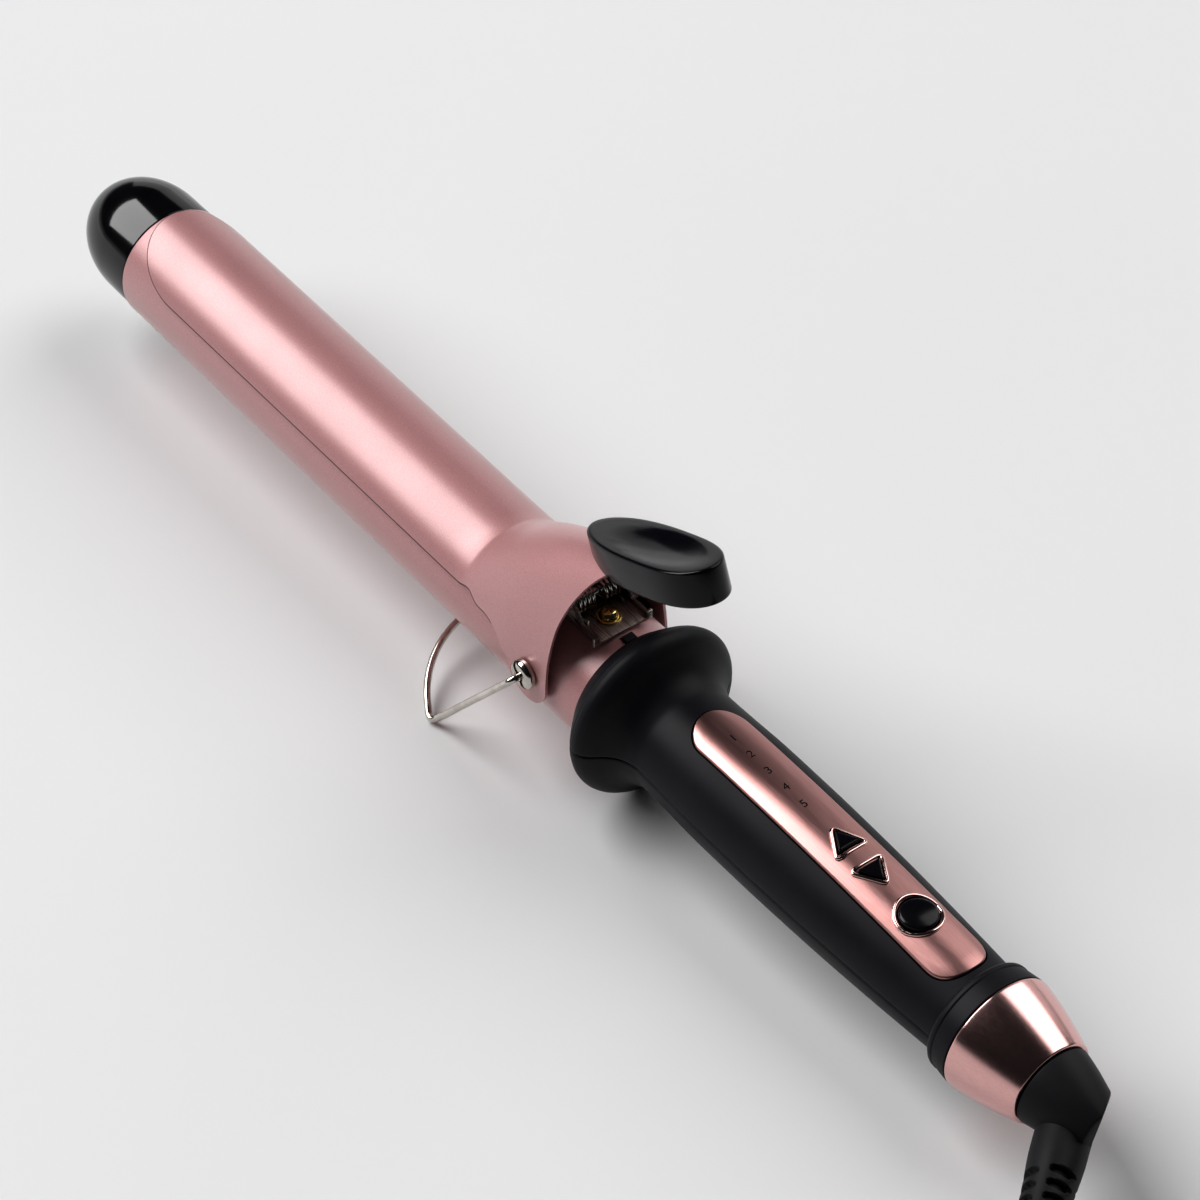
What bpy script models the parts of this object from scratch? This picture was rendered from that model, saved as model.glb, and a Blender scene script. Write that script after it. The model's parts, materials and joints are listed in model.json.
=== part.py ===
"""Curling iron with a spring clamp, a fold-out wire stand and a swivelling cord.

Every length below is in millimetres: two empties, scaled by 0.001, carry all the pieces, so the
model comes out in metres. The iron is drawn in its own frame: the barrel's axis is X, the barrel's
front rim is x = 0, the cord leaves past x = 337, and the control panel faces +Z. The whole iron
then tips 1.2 degrees about Y, so that it rests on the two feet of the wire stand and on the
collar. The loose cord is drawn in the floor's frame.
"""
import math

import bmesh
import bpy
from mathutils import Matrix, Vector

MM = 0.001
GAP = 0.3

# Driving dimensions, mm
TILT = math.radians(1.2)
ROUND = 40
SMALL_ROUND = 20
BARREL_R = 16.0
BARREL_WALL = 1.4
BARREL_END = 203.0
CAP_R = 15.7
CAP_STRAIGHT = 10.5
CAP_DOME = 20.5
SHEET = 0.7
PIVOT = Vector((177.0, 0.0, 3.6))
LUG_Y = 17.6
LUG_R = 8.0
LEVER_SLOPE = math.radians(23.5)
LEVER_NOSE = Vector((178.0, 0.0, 42.3))
LEVER_LENGTH = 46.0
LEVER_DEPTH = 9.0
BRACKET_TOP = 17.1
SPRING_AXIS = Vector((178.5, 0.0, 20.4))
SPRING_R = 2.6
SPRING_WIRE = 0.45
STAND_WIRE_R = 0.9
STAND_FOOT = Vector((155.8, 29.5))
STAND_ARC_R = 32.3
STAND_ARC_BACK = 11.2
COLLAR_X = 201.2
COLLAR_R = 22.8
HANDLE_END = 312.6
HANDLE_WALL = 3.2
NECK_R = 10.8
PANEL_FRONT = 219.8
PANEL_REAR = 310.6
PANEL_HALF = 7.2
PANEL_LIFT = 0.4
PANEL_THICK = 1.9
BOARD_TOP = 6.0
CAP_RIM_R = 14.86
CAP_RIM_X = 319.7
CAP_TAIL_R = 10.62
CAP_TAIL_X = 336.9
RELIEF_ROOT = Vector((346.2, -4.5, -3.6))
RELIEF_DIR = Vector((0.576, -0.815, -0.06)).normalized()
RELIEF_LENGTH = 42.0
CORD_R = 3.0

# Places that follow from them
CREST = ((1.4, 16.65), (143, 16.65), (147, 17.0), (150, 18.6), (155, 22.3), (160, 25.8),
         (170, 31.6), (180, 36.4), (190, 40.8), (198, 44.3))
FLANK = ((1.4, 16.65), (143, 16.65), (150, 16.8), (160, 17.25), (168, LUG_Y), (198, LUG_Y))
HANDLE = ((194.0, 17.5), (198.8, 22.0), (200.0, 22.7), (COLLAR_X, COLLAR_R), (202.6, 22.4),
          (204.2, 21.2), (206.4, 18.2), (208.4, 16.2), (210.6, 15.0), (214.0, 14.25), (222.0, 14.4),
          (235.0, 14.75), (250.0, 14.7), (270.0, 14.3), (290.0, 13.5), (HANDLE_END, 12.2))
LEVER_HALF = ((0.0, 2.5), (5.0, 4.5), (15.0, 7.4), (28.0, 8.1), (38.0, 7.3), (42.0, 6.3),
              (44.6, 4.6), (46.0, 2.4))

# The iron's own frame, tipped so that the stand's feet and the collar meet the floor
TIPPED = Matrix.Rotation(TILT, 4, "Y")
FLOOR_DROP = COLLAR_X * math.sin(TILT) + COLLAR_R * math.cos(TILT)
CENTRE_X = -161.46


def clear_scene():
    for item in list(bpy.data.objects):
        bpy.data.objects.remove(item, do_unlink=True)


def material(name, colour, roughness, metallic=0.0):
    """A Principled material, made once for each name."""
    made = bpy.data.materials.get(name)
    if made is None:
        made = bpy.data.materials.new(name)
        made.use_nodes = True
        shader = made.node_tree.nodes["Principled BSDF"]
        shader.inputs["Base Color"].default_value = (*colour, 1.0)
        shader.inputs["Roughness"].default_value = roughness
        shader.inputs["Metallic"].default_value = metallic
        made.diffuse_color = (*colour, 1.0)
    return made


def rose_paint():
    return material("rose_paint", (0.58, 0.27, 0.26), 0.32, 0.6)


def rose_metal():
    return material("rose_metal", (0.83, 0.50, 0.44), 0.2, 1.0)


def black_gloss():
    return material("black_gloss", (0.01, 0.01, 0.011), 0.08)


def black_grip():
    return material("black_grip", (0.018, 0.018, 0.02), 0.55)


def black_rubber():
    return material("black_rubber", (0.015, 0.015, 0.015), 0.6)


def nickel():
    return material("nickel", (0.72, 0.70, 0.66), 0.18, 1.0)


def steel_plate():
    return material("steel_plate", (0.52, 0.50, 0.46), 0.35, 1.0)


def yellow_zinc():
    return material("yellow_zinc", (0.80, 0.62, 0.25), 0.25, 1.0)


def aluminium():
    return material("aluminium", (0.80, 0.80, 0.80), 0.4, 1.0)


def brass():
    return material("brass", (0.80, 0.60, 0.30), 0.3, 1.0)


def ceramic():
    return material("ceramic", (0.85, 0.82, 0.75), 0.6)


def board_green():
    return material("board_green", (0.03, 0.20, 0.08), 0.5)


def led_lens():
    return material("led_lens", (0.9, 0.3, 0.2), 0.3)


# Frames and placing

def frame(name, place):
    """An empty that carries pieces drawn in millimetres."""
    empty = bpy.data.objects.new(name, None)
    bpy.context.scene.collection.objects.link(empty)
    empty.matrix_world = Matrix.Scale(MM, 4) @ place
    return empty


def joint_frame(name, parent, origin):
    """An empty on a joint's axis, under the iron's frame."""
    empty = bpy.data.objects.new(name, None)
    bpy.context.scene.collection.objects.link(empty)
    empty.parent = parent
    empty.location = origin
    return empty


def add_object(name, data, carrier, finish, origin):
    piece = bpy.data.objects.new(name, data)
    bpy.context.scene.collection.objects.link(piece)
    piece.parent = carrier
    carrier_origin = carrier.get("origin_mm", (0.0, 0.0, 0.0))
    piece.location = origin - Vector(carrier_origin)
    data.materials.append(finish)
    return piece


def close_up(shape):
    """Leaves a shape as outward-facing triangles, which the exact Boolean handles best."""
    bmesh.ops.remove_doubles(shape, verts=shape.verts, dist=0.001)
    bmesh.ops.triangulate(shape, faces=shape.faces)
    bmesh.ops.recalc_face_normals(shape, faces=shape.faces)


def add_piece(name, shape, carrier, finish, origin=Vector((0, 0, 0)), sharp=35.0):
    """A mesh object from a bmesh in millimetres, with its origin at the point given."""
    close_up(shape)
    shape.transform(Matrix.Translation(-origin))
    mesh = bpy.data.meshes.new(name)
    shape.to_mesh(mesh)
    shape.free()
    mesh.shade_smooth()
    mesh.set_sharp_from_angle(angle=math.radians(sharp))
    return add_object(name, mesh, carrier, finish, origin)


def cut(piece, shape, operation="DIFFERENCE"):
    """Cuts or joins a shape, given in millimetres in the iron's frame, into a piece."""
    close_up(shape)
    origin = piece.location + Vector(piece.parent.get("origin_mm", (0.0, 0.0, 0.0)))
    shape.transform(Matrix.Translation(-origin))
    mesh = bpy.data.meshes.new(piece.name + "_cutter")
    shape.to_mesh(mesh)
    shape.free()
    cutter = bpy.data.objects.new(piece.name + "_cutter", mesh)
    bpy.context.scene.collection.objects.link(cutter)
    cutter.parent = piece
    cutter.hide_render = True
    cutter.display_type = "WIRE"
    modifier = piece.modifiers.new("cut", "BOOLEAN")
    modifier.operation = operation
    modifier.solver = "EXACT"
    modifier.object = cutter


# Shapes: each returns a bmesh in millimetres

def turned(profile, segments=ROUND, hollow=False):
    """Turns (x, r) points about X. A hollow profile closes on itself; a solid one ends on the axis."""
    shape = bmesh.new()
    rings = []
    for x, r in profile:
        if r < 1e-6:
            rings.append([shape.verts.new((x, 0, 0))])
            continue
        ring = []
        for k in range(segments):
            angle = 2 * math.pi * k / segments
            ring.append(shape.verts.new((x, r * math.cos(angle), r * math.sin(angle))))
        rings.append(ring)
    pairs = list(zip(rings, rings[1:]))
    if hollow:
        pairs.append((rings[-1], rings[0]))
    for a, b in pairs:
        for k in range(segments):
            n = (k + 1) % segments
            corners = [a[k % len(a)], a[n % len(a)], b[n % len(b)], b[k % len(b)]]
            unique = list(dict.fromkeys(corners))
            if len(unique) > 2:
                shape.faces.new(unique)
    return shape


def half_turned(profile, side, segments=ROUND // 2):
    """Turns a closed (x, r) profile through the half circle on one side of z = 0, less half a gap."""
    shape = bmesh.new()
    rings = []
    for x, r in profile:
        start = math.asin(GAP / 2 / r)
        ring = []
        for k in range(segments + 1):
            angle = start + (math.pi - 2 * start) * k / segments
            height = GAP / 2 if k in (0, segments) else r * math.sin(angle)
            ring.append(shape.verts.new((x, r * math.cos(angle), side * height)))
        rings.append(ring)
    for a, b in zip(rings, rings[1:] + rings[:1]):
        for k in range(segments):
            shape.faces.new((a[k], a[k + 1], b[k + 1], b[k]))
    shape.faces.new([ring[0] for ring in rings])
    shape.faces.new([ring[-1] for ring in rings])
    return shape


def bar(start, end, r_start, r_end=None, segments=SMALL_ROUND, roll=7.0):
    """A round bar, or a cone, between two points, rolled so that its edges miss its neighbours'."""
    start = Vector(start)
    end = Vector(end)
    r_end = r_start if r_end is None else r_end
    length = (end - start).length
    shape = turned(((0, 0), (0, r_start), (length, r_end), (length, 0)), segments)
    turn = Vector((1, 0, 0)).rotation_difference(end - start).to_matrix().to_4x4()
    shape.transform(Matrix.Translation(start) @ turn @ Matrix.Rotation(math.radians(roll), 4, "X"))
    return shape


def stood(shape, x, z):
    """A turned shape stood upright, its start at height z over a place on the axis."""
    shape.transform(Matrix.Translation((x, 0, z)) @ Matrix.Rotation(-math.pi / 2, 4, "Y"))
    return shape


def ring_bar(start, end, r_out, r_in, segments=SMALL_ROUND):
    """A round sleeve between two points."""
    start = Vector(start)
    end = Vector(end)
    length = (end - start).length
    shape = turned(((0, r_in), (0, r_out), (length, r_out), (length, r_in)), segments, hollow=True)
    turn = Vector((1, 0, 0)).rotation_difference(end - start).to_matrix().to_4x4()
    shape.transform(Matrix.Translation(start) @ turn)
    return shape


def box(low, high):
    shape = bmesh.new()
    bmesh.ops.create_cube(shape, size=1.0)
    size = Vector(high) - Vector(low)
    middle = (Vector(high) + Vector(low)) / 2
    shape.transform(Matrix.Translation(middle) @ Matrix.Diagonal((*size, 1.0)))
    return shape


def extruded(outline, low, high, axis="Z"):
    """A prism. The outline's two coordinates are the ones left of the axis, in X, Y, Z order."""
    def place(a, b, c):
        return {"X": (c, a, b), "Y": (a, c, b), "Z": (a, b, c)}[axis]

    shape = bmesh.new()
    bottom = [shape.verts.new(place(a, b, low)) for a, b in outline]
    top = [shape.verts.new(place(a, b, high)) for a, b in outline]
    shape.faces.new(bottom)
    shape.faces.new(top)
    for k in range(len(outline)):
        n = (k + 1) % len(outline)
        shape.faces.new((bottom[k], bottom[n], top[n], top[k]))
    return shape


def channel(outer, inner, low, high):
    """A tube of any outline along X, open at both ends."""
    shape = bmesh.new()
    loops = []
    for outline, x in ((outer, low), (outer, high), (inner, high), (inner, low)):
        loops.append([shape.verts.new((x, a, b)) for a, b in outline])
    for a, b in zip(loops, loops[1:] + loops[:1]):
        for k in range(len(outer)):
            n = (k + 1) % len(outer)
            shape.faces.new((a[k], a[n], b[n], b[k]))
    return shape


def slab(top, bottom):
    """A closed solid between two grids of points with the same rows and columns."""
    shape = bmesh.new()
    upper = [[shape.verts.new(p) for p in row] for row in top]
    lower = [[shape.verts.new(p) for p in row] for row in bottom]
    rows = len(upper)
    cols = len(upper[0])
    for i in range(rows - 1):
        for j in range(cols - 1):
            shape.faces.new((upper[i][j], upper[i][j + 1], upper[i + 1][j + 1], upper[i + 1][j]))
            shape.faces.new((lower[i][j], lower[i + 1][j], lower[i + 1][j + 1], lower[i][j + 1]))
    edge = [(i, 0) for i in range(rows)] + [(rows - 1, j) for j in range(1, cols)]
    edge += [(i, cols - 1) for i in range(rows - 2, -1, -1)] + [(0, j) for j in range(cols - 2, 0, -1)]
    for (i, j), (m, n) in zip(edge, edge[1:] + edge[:1]):
        shape.faces.new((upper[i][j], upper[m][n], lower[m][n], lower[i][j]))
    return shape


def tube(name, points, radius, carrier, finish, resolution=2):
    """A curve object with a round bevel and filled caps, through points in millimetres."""
    curve = bpy.data.curves.new(name, "CURVE")
    curve.dimensions = "3D"
    curve.bevel_depth = radius
    curve.bevel_resolution = resolution
    curve.use_fill_caps = True
    spline = curve.splines.new("POLY")
    spline.points.add(len(points) - 1)
    origin = Vector(carrier.get("origin_mm", (0.0, 0.0, 0.0)))
    for knot, point in zip(spline.points, points):
        knot.co = (*(Vector(point) - origin), 1.0)
    return add_object(name, curve, carrier, finish, origin)


# Curves through a few points

def follow(table, x):
    """Reads a smooth curve through (x, value) points, never overshooting between them."""
    if x <= table[0][0]:
        return table[0][1]
    if x >= table[-1][0]:
        return table[-1][1]
    slopes = [(b[1] - a[1]) / (b[0] - a[0]) for a, b in zip(table, table[1:])]
    tangents = [slopes[0]]
    for a, b in zip(slopes, slopes[1:]):
        tangents.append(0.0 if a * b <= 0 else 2 * a * b / (a + b))
    tangents.append(slopes[-1])
    k = max(i for i in range(len(table) - 1) if table[i][0] <= x)
    (x0, y0), (x1, y1) = table[k], table[k + 1]
    h = x1 - x0
    t = (x - x0) / h
    return ((2 * t ** 3 - 3 * t ** 2 + 1) * y0 + (t ** 3 - 2 * t ** 2 + t) * h * tangents[k]
            + (3 * t ** 2 - 2 * t ** 3) * y1 + (t ** 3 - t ** 2) * h * tangents[k + 1])


def blend(a, b, t):
    """Goes smoothly from 0 at a to 1 at b."""
    s = min(1.0, max(0.0, (t - a) / (b - a)))
    return s * s * (3 - 2 * s)


def arc(centre, radius, first, last, steps):
    """Points on a circle, angles in degrees."""
    points = []
    for k in range(steps + 1):
        angle = math.radians(first + (last - first) * k / steps)
        points.append((centre[0] + radius * math.cos(angle), centre[1] + radius * math.sin(angle)))
    return points


def smooth_route(knots, step):
    """Even points on a Catmull-Rom curve through the knots."""
    padded = [2 * knots[0] - knots[1]] + list(knots) + [2 * knots[-1] - knots[-2]]
    fine = []
    for a, b, c, d in zip(padded, padded[1:], padded[2:], padded[3:]):
        for k in range(24):
            t = k / 24
            fine.append(0.5 * (2 * b + (c - a) * t + (2 * a - 5 * b + 4 * c - d) * t ** 2
                               + (3 * b - 3 * c + d - a) * t ** 3))
    fine.append(knots[-1])
    total = sum((b - a).length for a, b in zip(fine, fine[1:]))
    count = max(2, round(total / step))
    points = [fine[0]]
    travelled = 0.0
    for a, b in zip(fine, fine[1:]):
        length = (b - a).length
        while len(points) < count and travelled + length >= total * len(points) / count:
            points.append(a.lerp(b, (total * len(points) / count - travelled) / length))
        travelled += length
    points.append(fine[-1])
    return points


# The clamp's sheet

def sheet_point(x, w, offset=0.0):
    """A point of the clamp: w runs 0 at the crest, 1 at the side, then straight down."""
    high = follow(CREST, x) + offset
    wide = follow(FLANK, x) + offset
    if w <= 1.0:
        angle = w * math.pi / 2
        return Vector((x, wide * math.sin(angle), high * math.cos(angle)))
    return Vector((x, wide, -(w - 1.0) * high * math.pi / 2))


def sheet_w(x, z):
    """The w at which the clamp has height z."""
    high = follow(CREST, x)
    if z >= 0:
        return math.acos(min(1.0, z / high)) / (math.pi / 2)
    return 1.0 - z / (high * math.pi / 2)


BLADE_W = 63.5 / 90
BLADE_NOSE = 20.6


NOSE_STEPS = (0.25, 1, 2, 3, 4, 5, 6, 7)


def nose_x(step):
    return 1.4 + BLADE_NOSE * (1 - math.cos(math.pi / 16 * step))


def clamp_edge():
    """The lower edge from the nose to the rear of the lug, as (x, w)."""
    edge = [(nose_x(step), BLADE_W * math.sin(math.pi / 16 * step)) for step in NOSE_STEPS]
    edge += [(22.0, BLADE_W), (80.0, BLADE_W), (143.0, BLADE_W), (147.0, BLADE_W), (151.0, BLADE_W)]
    for x, z in ((155.0, 7.6), (159.0, 7.8), (162.0, 7.2), (164.8, 5.8), (166.8, 3.6)):
        edge.append((x, sheet_w(x, z)))
    for angle in (188, 212, 236, 262, 290, 318, 346):
        squeeze = 0.92 if angle > 270 else 1.0
        x = PIVOT.x + LUG_R * math.cos(math.radians(angle)) * squeeze
        z = PIVOT.z + LUG_R * math.sin(math.radians(angle))
        edge.append((x, sheet_w(x, z)))
    return edge


def clamp_crest(count):
    """Crest stations that match the edge's points, as x."""
    blade = [nose_x(step) for step in NOSE_STEPS]
    blade += [22.0, 80.0, 143.0, 147.0, 151.0]
    rest = count - len(blade)
    return blade + [151.0 + (197.5 - 151.0) * (k + 1) / rest for k in range(rest)]


REAR_EDGE = ((0.0, 197.5), (0.1, 196.2), (0.182, 192.5), (0.328, 188.5), (0.513, 185.5),
             (0.651, 184.3), (0.8, 184.1), (1.0, 184.6))


def clamp_surface(columns=9):
    """Rows of points from crest to edge on the +Y side, mirrored to the -Y side."""
    edge = clamp_edge()
    crest = clamp_crest(len(edge))
    rows = []
    for (edge_x, edge_w), crest_x in zip(edge, crest):
        pull = blend(165.0, 197.5, crest_x)
        half = []
        for j in range(columns + 1):
            v = j / columns
            w = edge_w * v
            straight = crest_x + (edge_x - crest_x) * v
            rear = follow(REAR_EDGE, w) + (edge[-1][0] - follow(REAR_EDGE, edge[-1][1])) * v
            last = crest[-1] + (edge[-1][0] - crest[-1]) * v
            half.append((straight + pull * (rear - last), w))
        rows.append(half)
    return rows


def clamp_blade(carrier):
    outer = []
    inner = []
    for half in clamp_surface():
        for grid, offset in ((outer, SHEET / 2), (inner, -SHEET / 2)):
            side = [sheet_point(x, w, offset) for x, w in half]
            mirrored = [Vector((p.x, -p.y, p.z)) for p in reversed(side[1:])]
            grid.append(mirrored + side)
    piece = add_piece("clamp_blade", slab(outer, inner), carrier, rose_paint(), PIVOT)
    for side in (1, -1):
        cut(piece, bar((PIVOT.x, side * 14.0, PIVOT.z), (PIVOT.x, side * 21.0, PIVOT.z), 2.3))
    root, up = lever_screw_line()
    cut(piece, bar(root - up * 3.0, root + up * 3.0, 1.6))


def lever_screw_line():
    """The lever screw's place on the crest, and its direction."""
    x = 186.0
    up = Vector((-math.sin(LEVER_SLOPE), 0, math.cos(LEVER_SLOPE)))
    return Vector((x, 0, follow(CREST, x))), up


def hood_top(x, y):
    """Height of the hood's outer face above a point, or nothing where there is no hood."""
    wide = follow(FLANK, x) + SHEET / 2
    if abs(y) >= wide:
        return None
    w = math.asin(abs(y) / wide) / (math.pi / 2)
    if x > follow(REAR_EDGE, w) + 3.2:
        return None
    return (follow(CREST, x) + SHEET / 2) * math.sqrt(1 - (y / wide) ** 2)


def thumb_lever(carrier):
    along = Vector((math.cos(LEVER_SLOPE), 0, math.sin(LEVER_SLOPE)))
    up = Vector((-math.sin(LEVER_SLOPE), 0, math.cos(LEVER_SLOPE)))
    top = []
    bottom = []
    for i in range(19):
        s = LEVER_LENGTH * i / 18
        half = follow(LEVER_HALF, s)
        upper = []
        lower = []
        for j in range(7):
            y = half * (j / 3 - 1)
            crown = LEVER_NOSE + along * s + Vector((0, y, 0))
            depth = LEVER_DEPTH * (0.62 + 0.38 * blend(0, 16, s))
            foot = crown - up * depth
            for _ in range(6):
                hood = hood_top(foot.x, y)
                if hood is None or foot.z >= hood + 1.4 * GAP:
                    break
                depth -= (hood + 1.6 * GAP - foot.z) * math.cos(LEVER_SLOPE)
                foot = crown - up * depth
            upper.append(crown)
            lower.append(foot)
        top.append(upper)
        bottom.append(lower)
    piece = add_piece("thumb_lever", slab(top, bottom), carrier, black_gloss(), PIVOT)
    root, up = lever_screw_line()
    cut(piece, bar(root, root + up * 5.0, 1.5))
    return piece


def lever_screw(carrier):
    root, up = lever_screw_line()
    shape = turned(((-2.9, 0), (-2.9, 1.7), (-2.3, 2.3), (-1.2, 2.3), (-1.2, 1.15), (4.4, 1.15), (4.4, 0)),
                   SMALL_ROUND)
    turn = Vector((1, 0, 0)).rotation_difference(up).to_matrix().to_4x4()
    shape.transform(Matrix.Translation(root) @ turn)
    add_piece("lever_screw", shape, carrier, nickel(), PIVOT)


# Barrel and tip

def barrel_tube(carrier):
    inner = BARREL_R - BARREL_WALL
    profile = ((0, inner), (0, BARREL_R), (BARREL_END, BARREL_R), (BARREL_END, inner))
    piece = add_piece("barrel_tube", turned(profile, hollow=True), carrier, rose_paint())
    cut(piece, bar((PIVOT.x, -20, PIVOT.z), (PIVOT.x, 20, PIVOT.z), 2.2))
    cut(piece, bar((184.5, 0, 12), (184.5, 0, 20), 1.7))
    cut(piece, box((190.2, -2.6, 12), (BARREL_END + 2, 2.6, 20)))


def dome(radius, straight, depth, steps=7):
    """A round end towards -X, as (x, r) points from the axis outward."""
    points = []
    for k in range(steps + 1):
        angle = math.pi / 2 * k / steps
        points.append((-straight - depth * math.cos(angle), radius * math.sin(angle)))
    return points


def tip_cap(carrier):
    outer = dome(CAP_R, CAP_STRAIGHT, CAP_DOME)
    inner = [(x, r) for x, r in reversed(dome(CAP_R - 3.2, CAP_STRAIGHT - 2, CAP_DOME - 3.2, 3))]
    spigot = [(-GAP, CAP_R), (-GAP, 14.3), (9.0, 14.3), (9.0, 12.5)]
    add_piece("tip_cap", turned(outer + spigot + inner), carrier, black_gloss())


def tip_insulator(carrier):
    shape = turned(((9.4, 3.0), (9.4, 14.2), (12.6, 14.2), (12.6, 3.0)), 32, hollow=True)
    add_piece("tip_insulator", shape, carrier, ceramic())


def d_outline(radius, flat, side):
    """A half-round outline in (y, z) with its flat towards the axis."""
    start = math.degrees(math.asin(flat / radius))
    return [(y, side * z) for y, z in arc((0, 0), radius, start, 180 - start, 12)]


def heating_core(carrier):
    for name, side in (("heat_spreader_upper", 1), ("heat_spreader_lower", -1)):
        shape = channel(d_outline(14.2, 1.7, side), d_outline(12.0, 3.7, side), 16.0, 160.0)
        add_piece(name, shape, carrier, aluminium())
    add_piece("ptc_heater", box((22, -9, -1.3), (150, 9, 1.3)), carrier, ceramic())
    add_piece("thermal_fuse", bar((120, 0, 7.5), (134, 0, 7.5), 2.0, segments=12), carrier, aluminium())
    add_piece("thermistor", bar((60, 0, -7.5), (68, 0, -7.5), 1.2, segments=12), carrier, ceramic())


def barrel_bush(carrier):
    profile = ((181.5, 8.5), (181.5, 14.2), (203.3, 14.2), (203.3, 15.8), (205.3, 15.8), (205.3, 8.5))
    piece = add_piece("barrel_bush", turned(profile, 36, hollow=True), carrier, black_rubber())
    cut(piece, box((190.8, -2.2, 11), (193.3, 2.2, 16.8)), "UNION")
    cut(piece, bar((184.5, 0, 9.5), (184.5, 0, 16), 1.5))


# Clamp hardware

def spring_bracket(carrier):
    """A plate with two side rails, whose front ears carry the spring's pin."""
    low = BRACKET_TOP - 0.8
    outline = [(175.5, low), (190.0, low), (190.0, 18.6), (184.0, 18.6), (181.6, 21.6)]
    outline += arc((178.5, 20.4), 2.9, 30, 180, 6)
    ears = extruded(outline, -7.6, 7.6, "Y")
    piece = add_piece("spring_bracket", ears, carrier, steel_plate())
    cut(piece, box((170, -6.8, BRACKET_TOP), (195, 6.8, 30)))
    cut(piece, bar((178.5, -10, 20.4), (178.5, 10, 20.4), 1.65, segments=16))
    cut(piece, bar((184.5, 0, 12), (184.5, 0, 20), 1.7))


def bracket_screw(carrier):
    profile = ((0, 0), (0, 1.2), (6.9, 1.2), (6.9, 3.0), (8.2, 2.7), (8.9, 1.6), (9.0, 0))
    shape = stood(turned(profile, SMALL_ROUND), 184.5, BRACKET_TOP + GAP - 6.9)
    piece = add_piece("bracket_screw", shape, carrier, yellow_zinc())
    top = BRACKET_TOP + GAP + 2.1
    for wide, deep in ((0.35, 1.7), (1.7, 0.35)):
        cut(piece, box((184.5 - wide, -deep, top - 1.0), (184.5 + wide, deep, top + 2)))


def spring_pin(carrier):
    add_piece("spring_pin", bar((178.5, -8.6, 20.4), (178.5, 8.6, 20.4), 1.3, segments=16),
              carrier, nickel())


def clamp_spring(carrier):
    """One wire: a foot, a coil group, a bridge up to the hood, the other coil group, a foot."""
    turns = 3.75
    per_turn = 8
    pitch = 1.25
    side = []
    for k in range(int(turns * per_turn) + 1):
        angle = math.radians(-90) + 2 * math.pi * k / per_turn
        y = 5.9 - pitch * k / per_turn
        side.append(Vector((SPRING_AXIS.x + SPRING_R * math.cos(angle), y,
                            SPRING_AXIS.z + SPRING_R * math.sin(angle))))
    foot = [Vector((183.4, 5.4, BRACKET_TOP + SPRING_WIRE + GAP)),
            Vector((181.0, 5.9, BRACKET_TOP + SPRING_WIRE + GAP))]
    reach_x = SPRING_AXIS.x - 7.0
    hood = follow(CREST, reach_x) - SHEET / 2 - SPRING_WIRE - GAP - 0.2
    bridge = [Vector((reach_x + 1.0, 0.9, hood - 2.0)), Vector((reach_x, 0.45, hood))]
    half = foot + side + bridge
    other = [Vector((p.x, -p.y, p.z)) for p in reversed(half)]
    tube("clamp_spring", half + other, SPRING_WIRE, carrier, nickel(), resolution=1)


def pivot_hardware(carrier):
    """On each side: a shouldered screw through the lug, a washer, and a nut inside the barrel."""
    for name, side in (("left", -1), ("right", 1)):
        head_in = LUG_Y + SHEET / 2 + GAP
        head_out = head_in + 2.0
        profile = ((0, 0), (0, 1.55), (head_in - 9.2, 1.9), (head_in - 9.2, 3.75),
                   (head_out - 9.5, 3.75), (head_out - 9.2, 3.4), (head_out - 9.2, 1.3),
                   (head_in - 9.2 + 0.2, 1.3), (head_in - 9.2 + 0.2, 0))
        shape = turned(profile, 24)
        turn = Vector((1, 0, 0)).rotation_difference(Vector((0, side, 0))).to_matrix().to_4x4()
        shape.transform(Matrix.Translation((PIVOT.x, side * 9.2, PIVOT.z)) @ turn)
        add_piece("pivot_screw_" + name, shape, carrier, nickel(), PIVOT)
        washer = ring_bar((PIVOT.x, side * 16.15, PIVOT.z), (PIVOT.x, side * 16.6, PIVOT.z), 3.4, 2.25)
        add_piece("pivot_washer_" + name, washer, carrier, black_rubber(), PIVOT)
        nut = ring_bar((PIVOT.x, side * 9.6, PIVOT.z), (PIVOT.x, side * 12.2, PIVOT.z), 3.6, 2.25, 6)
        add_piece("pivot_nut_" + name, nut, carrier, steel_plate(), PIVOT)


# Wire stand

def floor_height(x, above):
    """The z, in the iron's frame, of a point a given height above the floor."""
    return (above - FLOOR_DROP + x * math.sin(TILT)) / math.cos(TILT)


def stand_route():
    """From one screw's hole down to a foot, along the arc that stops against the barrel, and back."""
    foot = Vector((*STAND_FOOT, floor_height(STAND_FOOT.x, STAND_WIRE_R)))
    stop_z = -(BARREL_R + GAP + STAND_WIRE_R)
    reach = STAND_ARC_R - STAND_ARC_BACK
    rise = (stop_z - foot.z) / reach
    run = math.sqrt(1 - rise ** 2)
    hole = Vector((PIVOT.x, 18.8, PIVOT.z))
    side = [hole, Vector((PIVOT.x, 21.4, PIVOT.z)), Vector((PIVOT.x - 0.4, 22.3, PIVOT.z - 0.5))]
    leg_top = Vector((PIVOT.x - 1.4, 23.0, PIVOT.z - 1.8))
    side += [leg_top, leg_top.lerp(foot, 0.5), leg_top.lerp(foot, 0.94)]
    for step in range(13):
        angle = math.radians(68.0 * (1 - step / 12))
        along = STAND_ARC_R * math.cos(angle) - STAND_ARC_BACK
        across = STAND_ARC_R * math.sin(angle)
        side.append(Vector((foot.x - along * run, across, foot.z + along * rise)))
    return side + [Vector((p.x, -p.y, p.z)) for p in reversed(side[:-1])]


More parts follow.
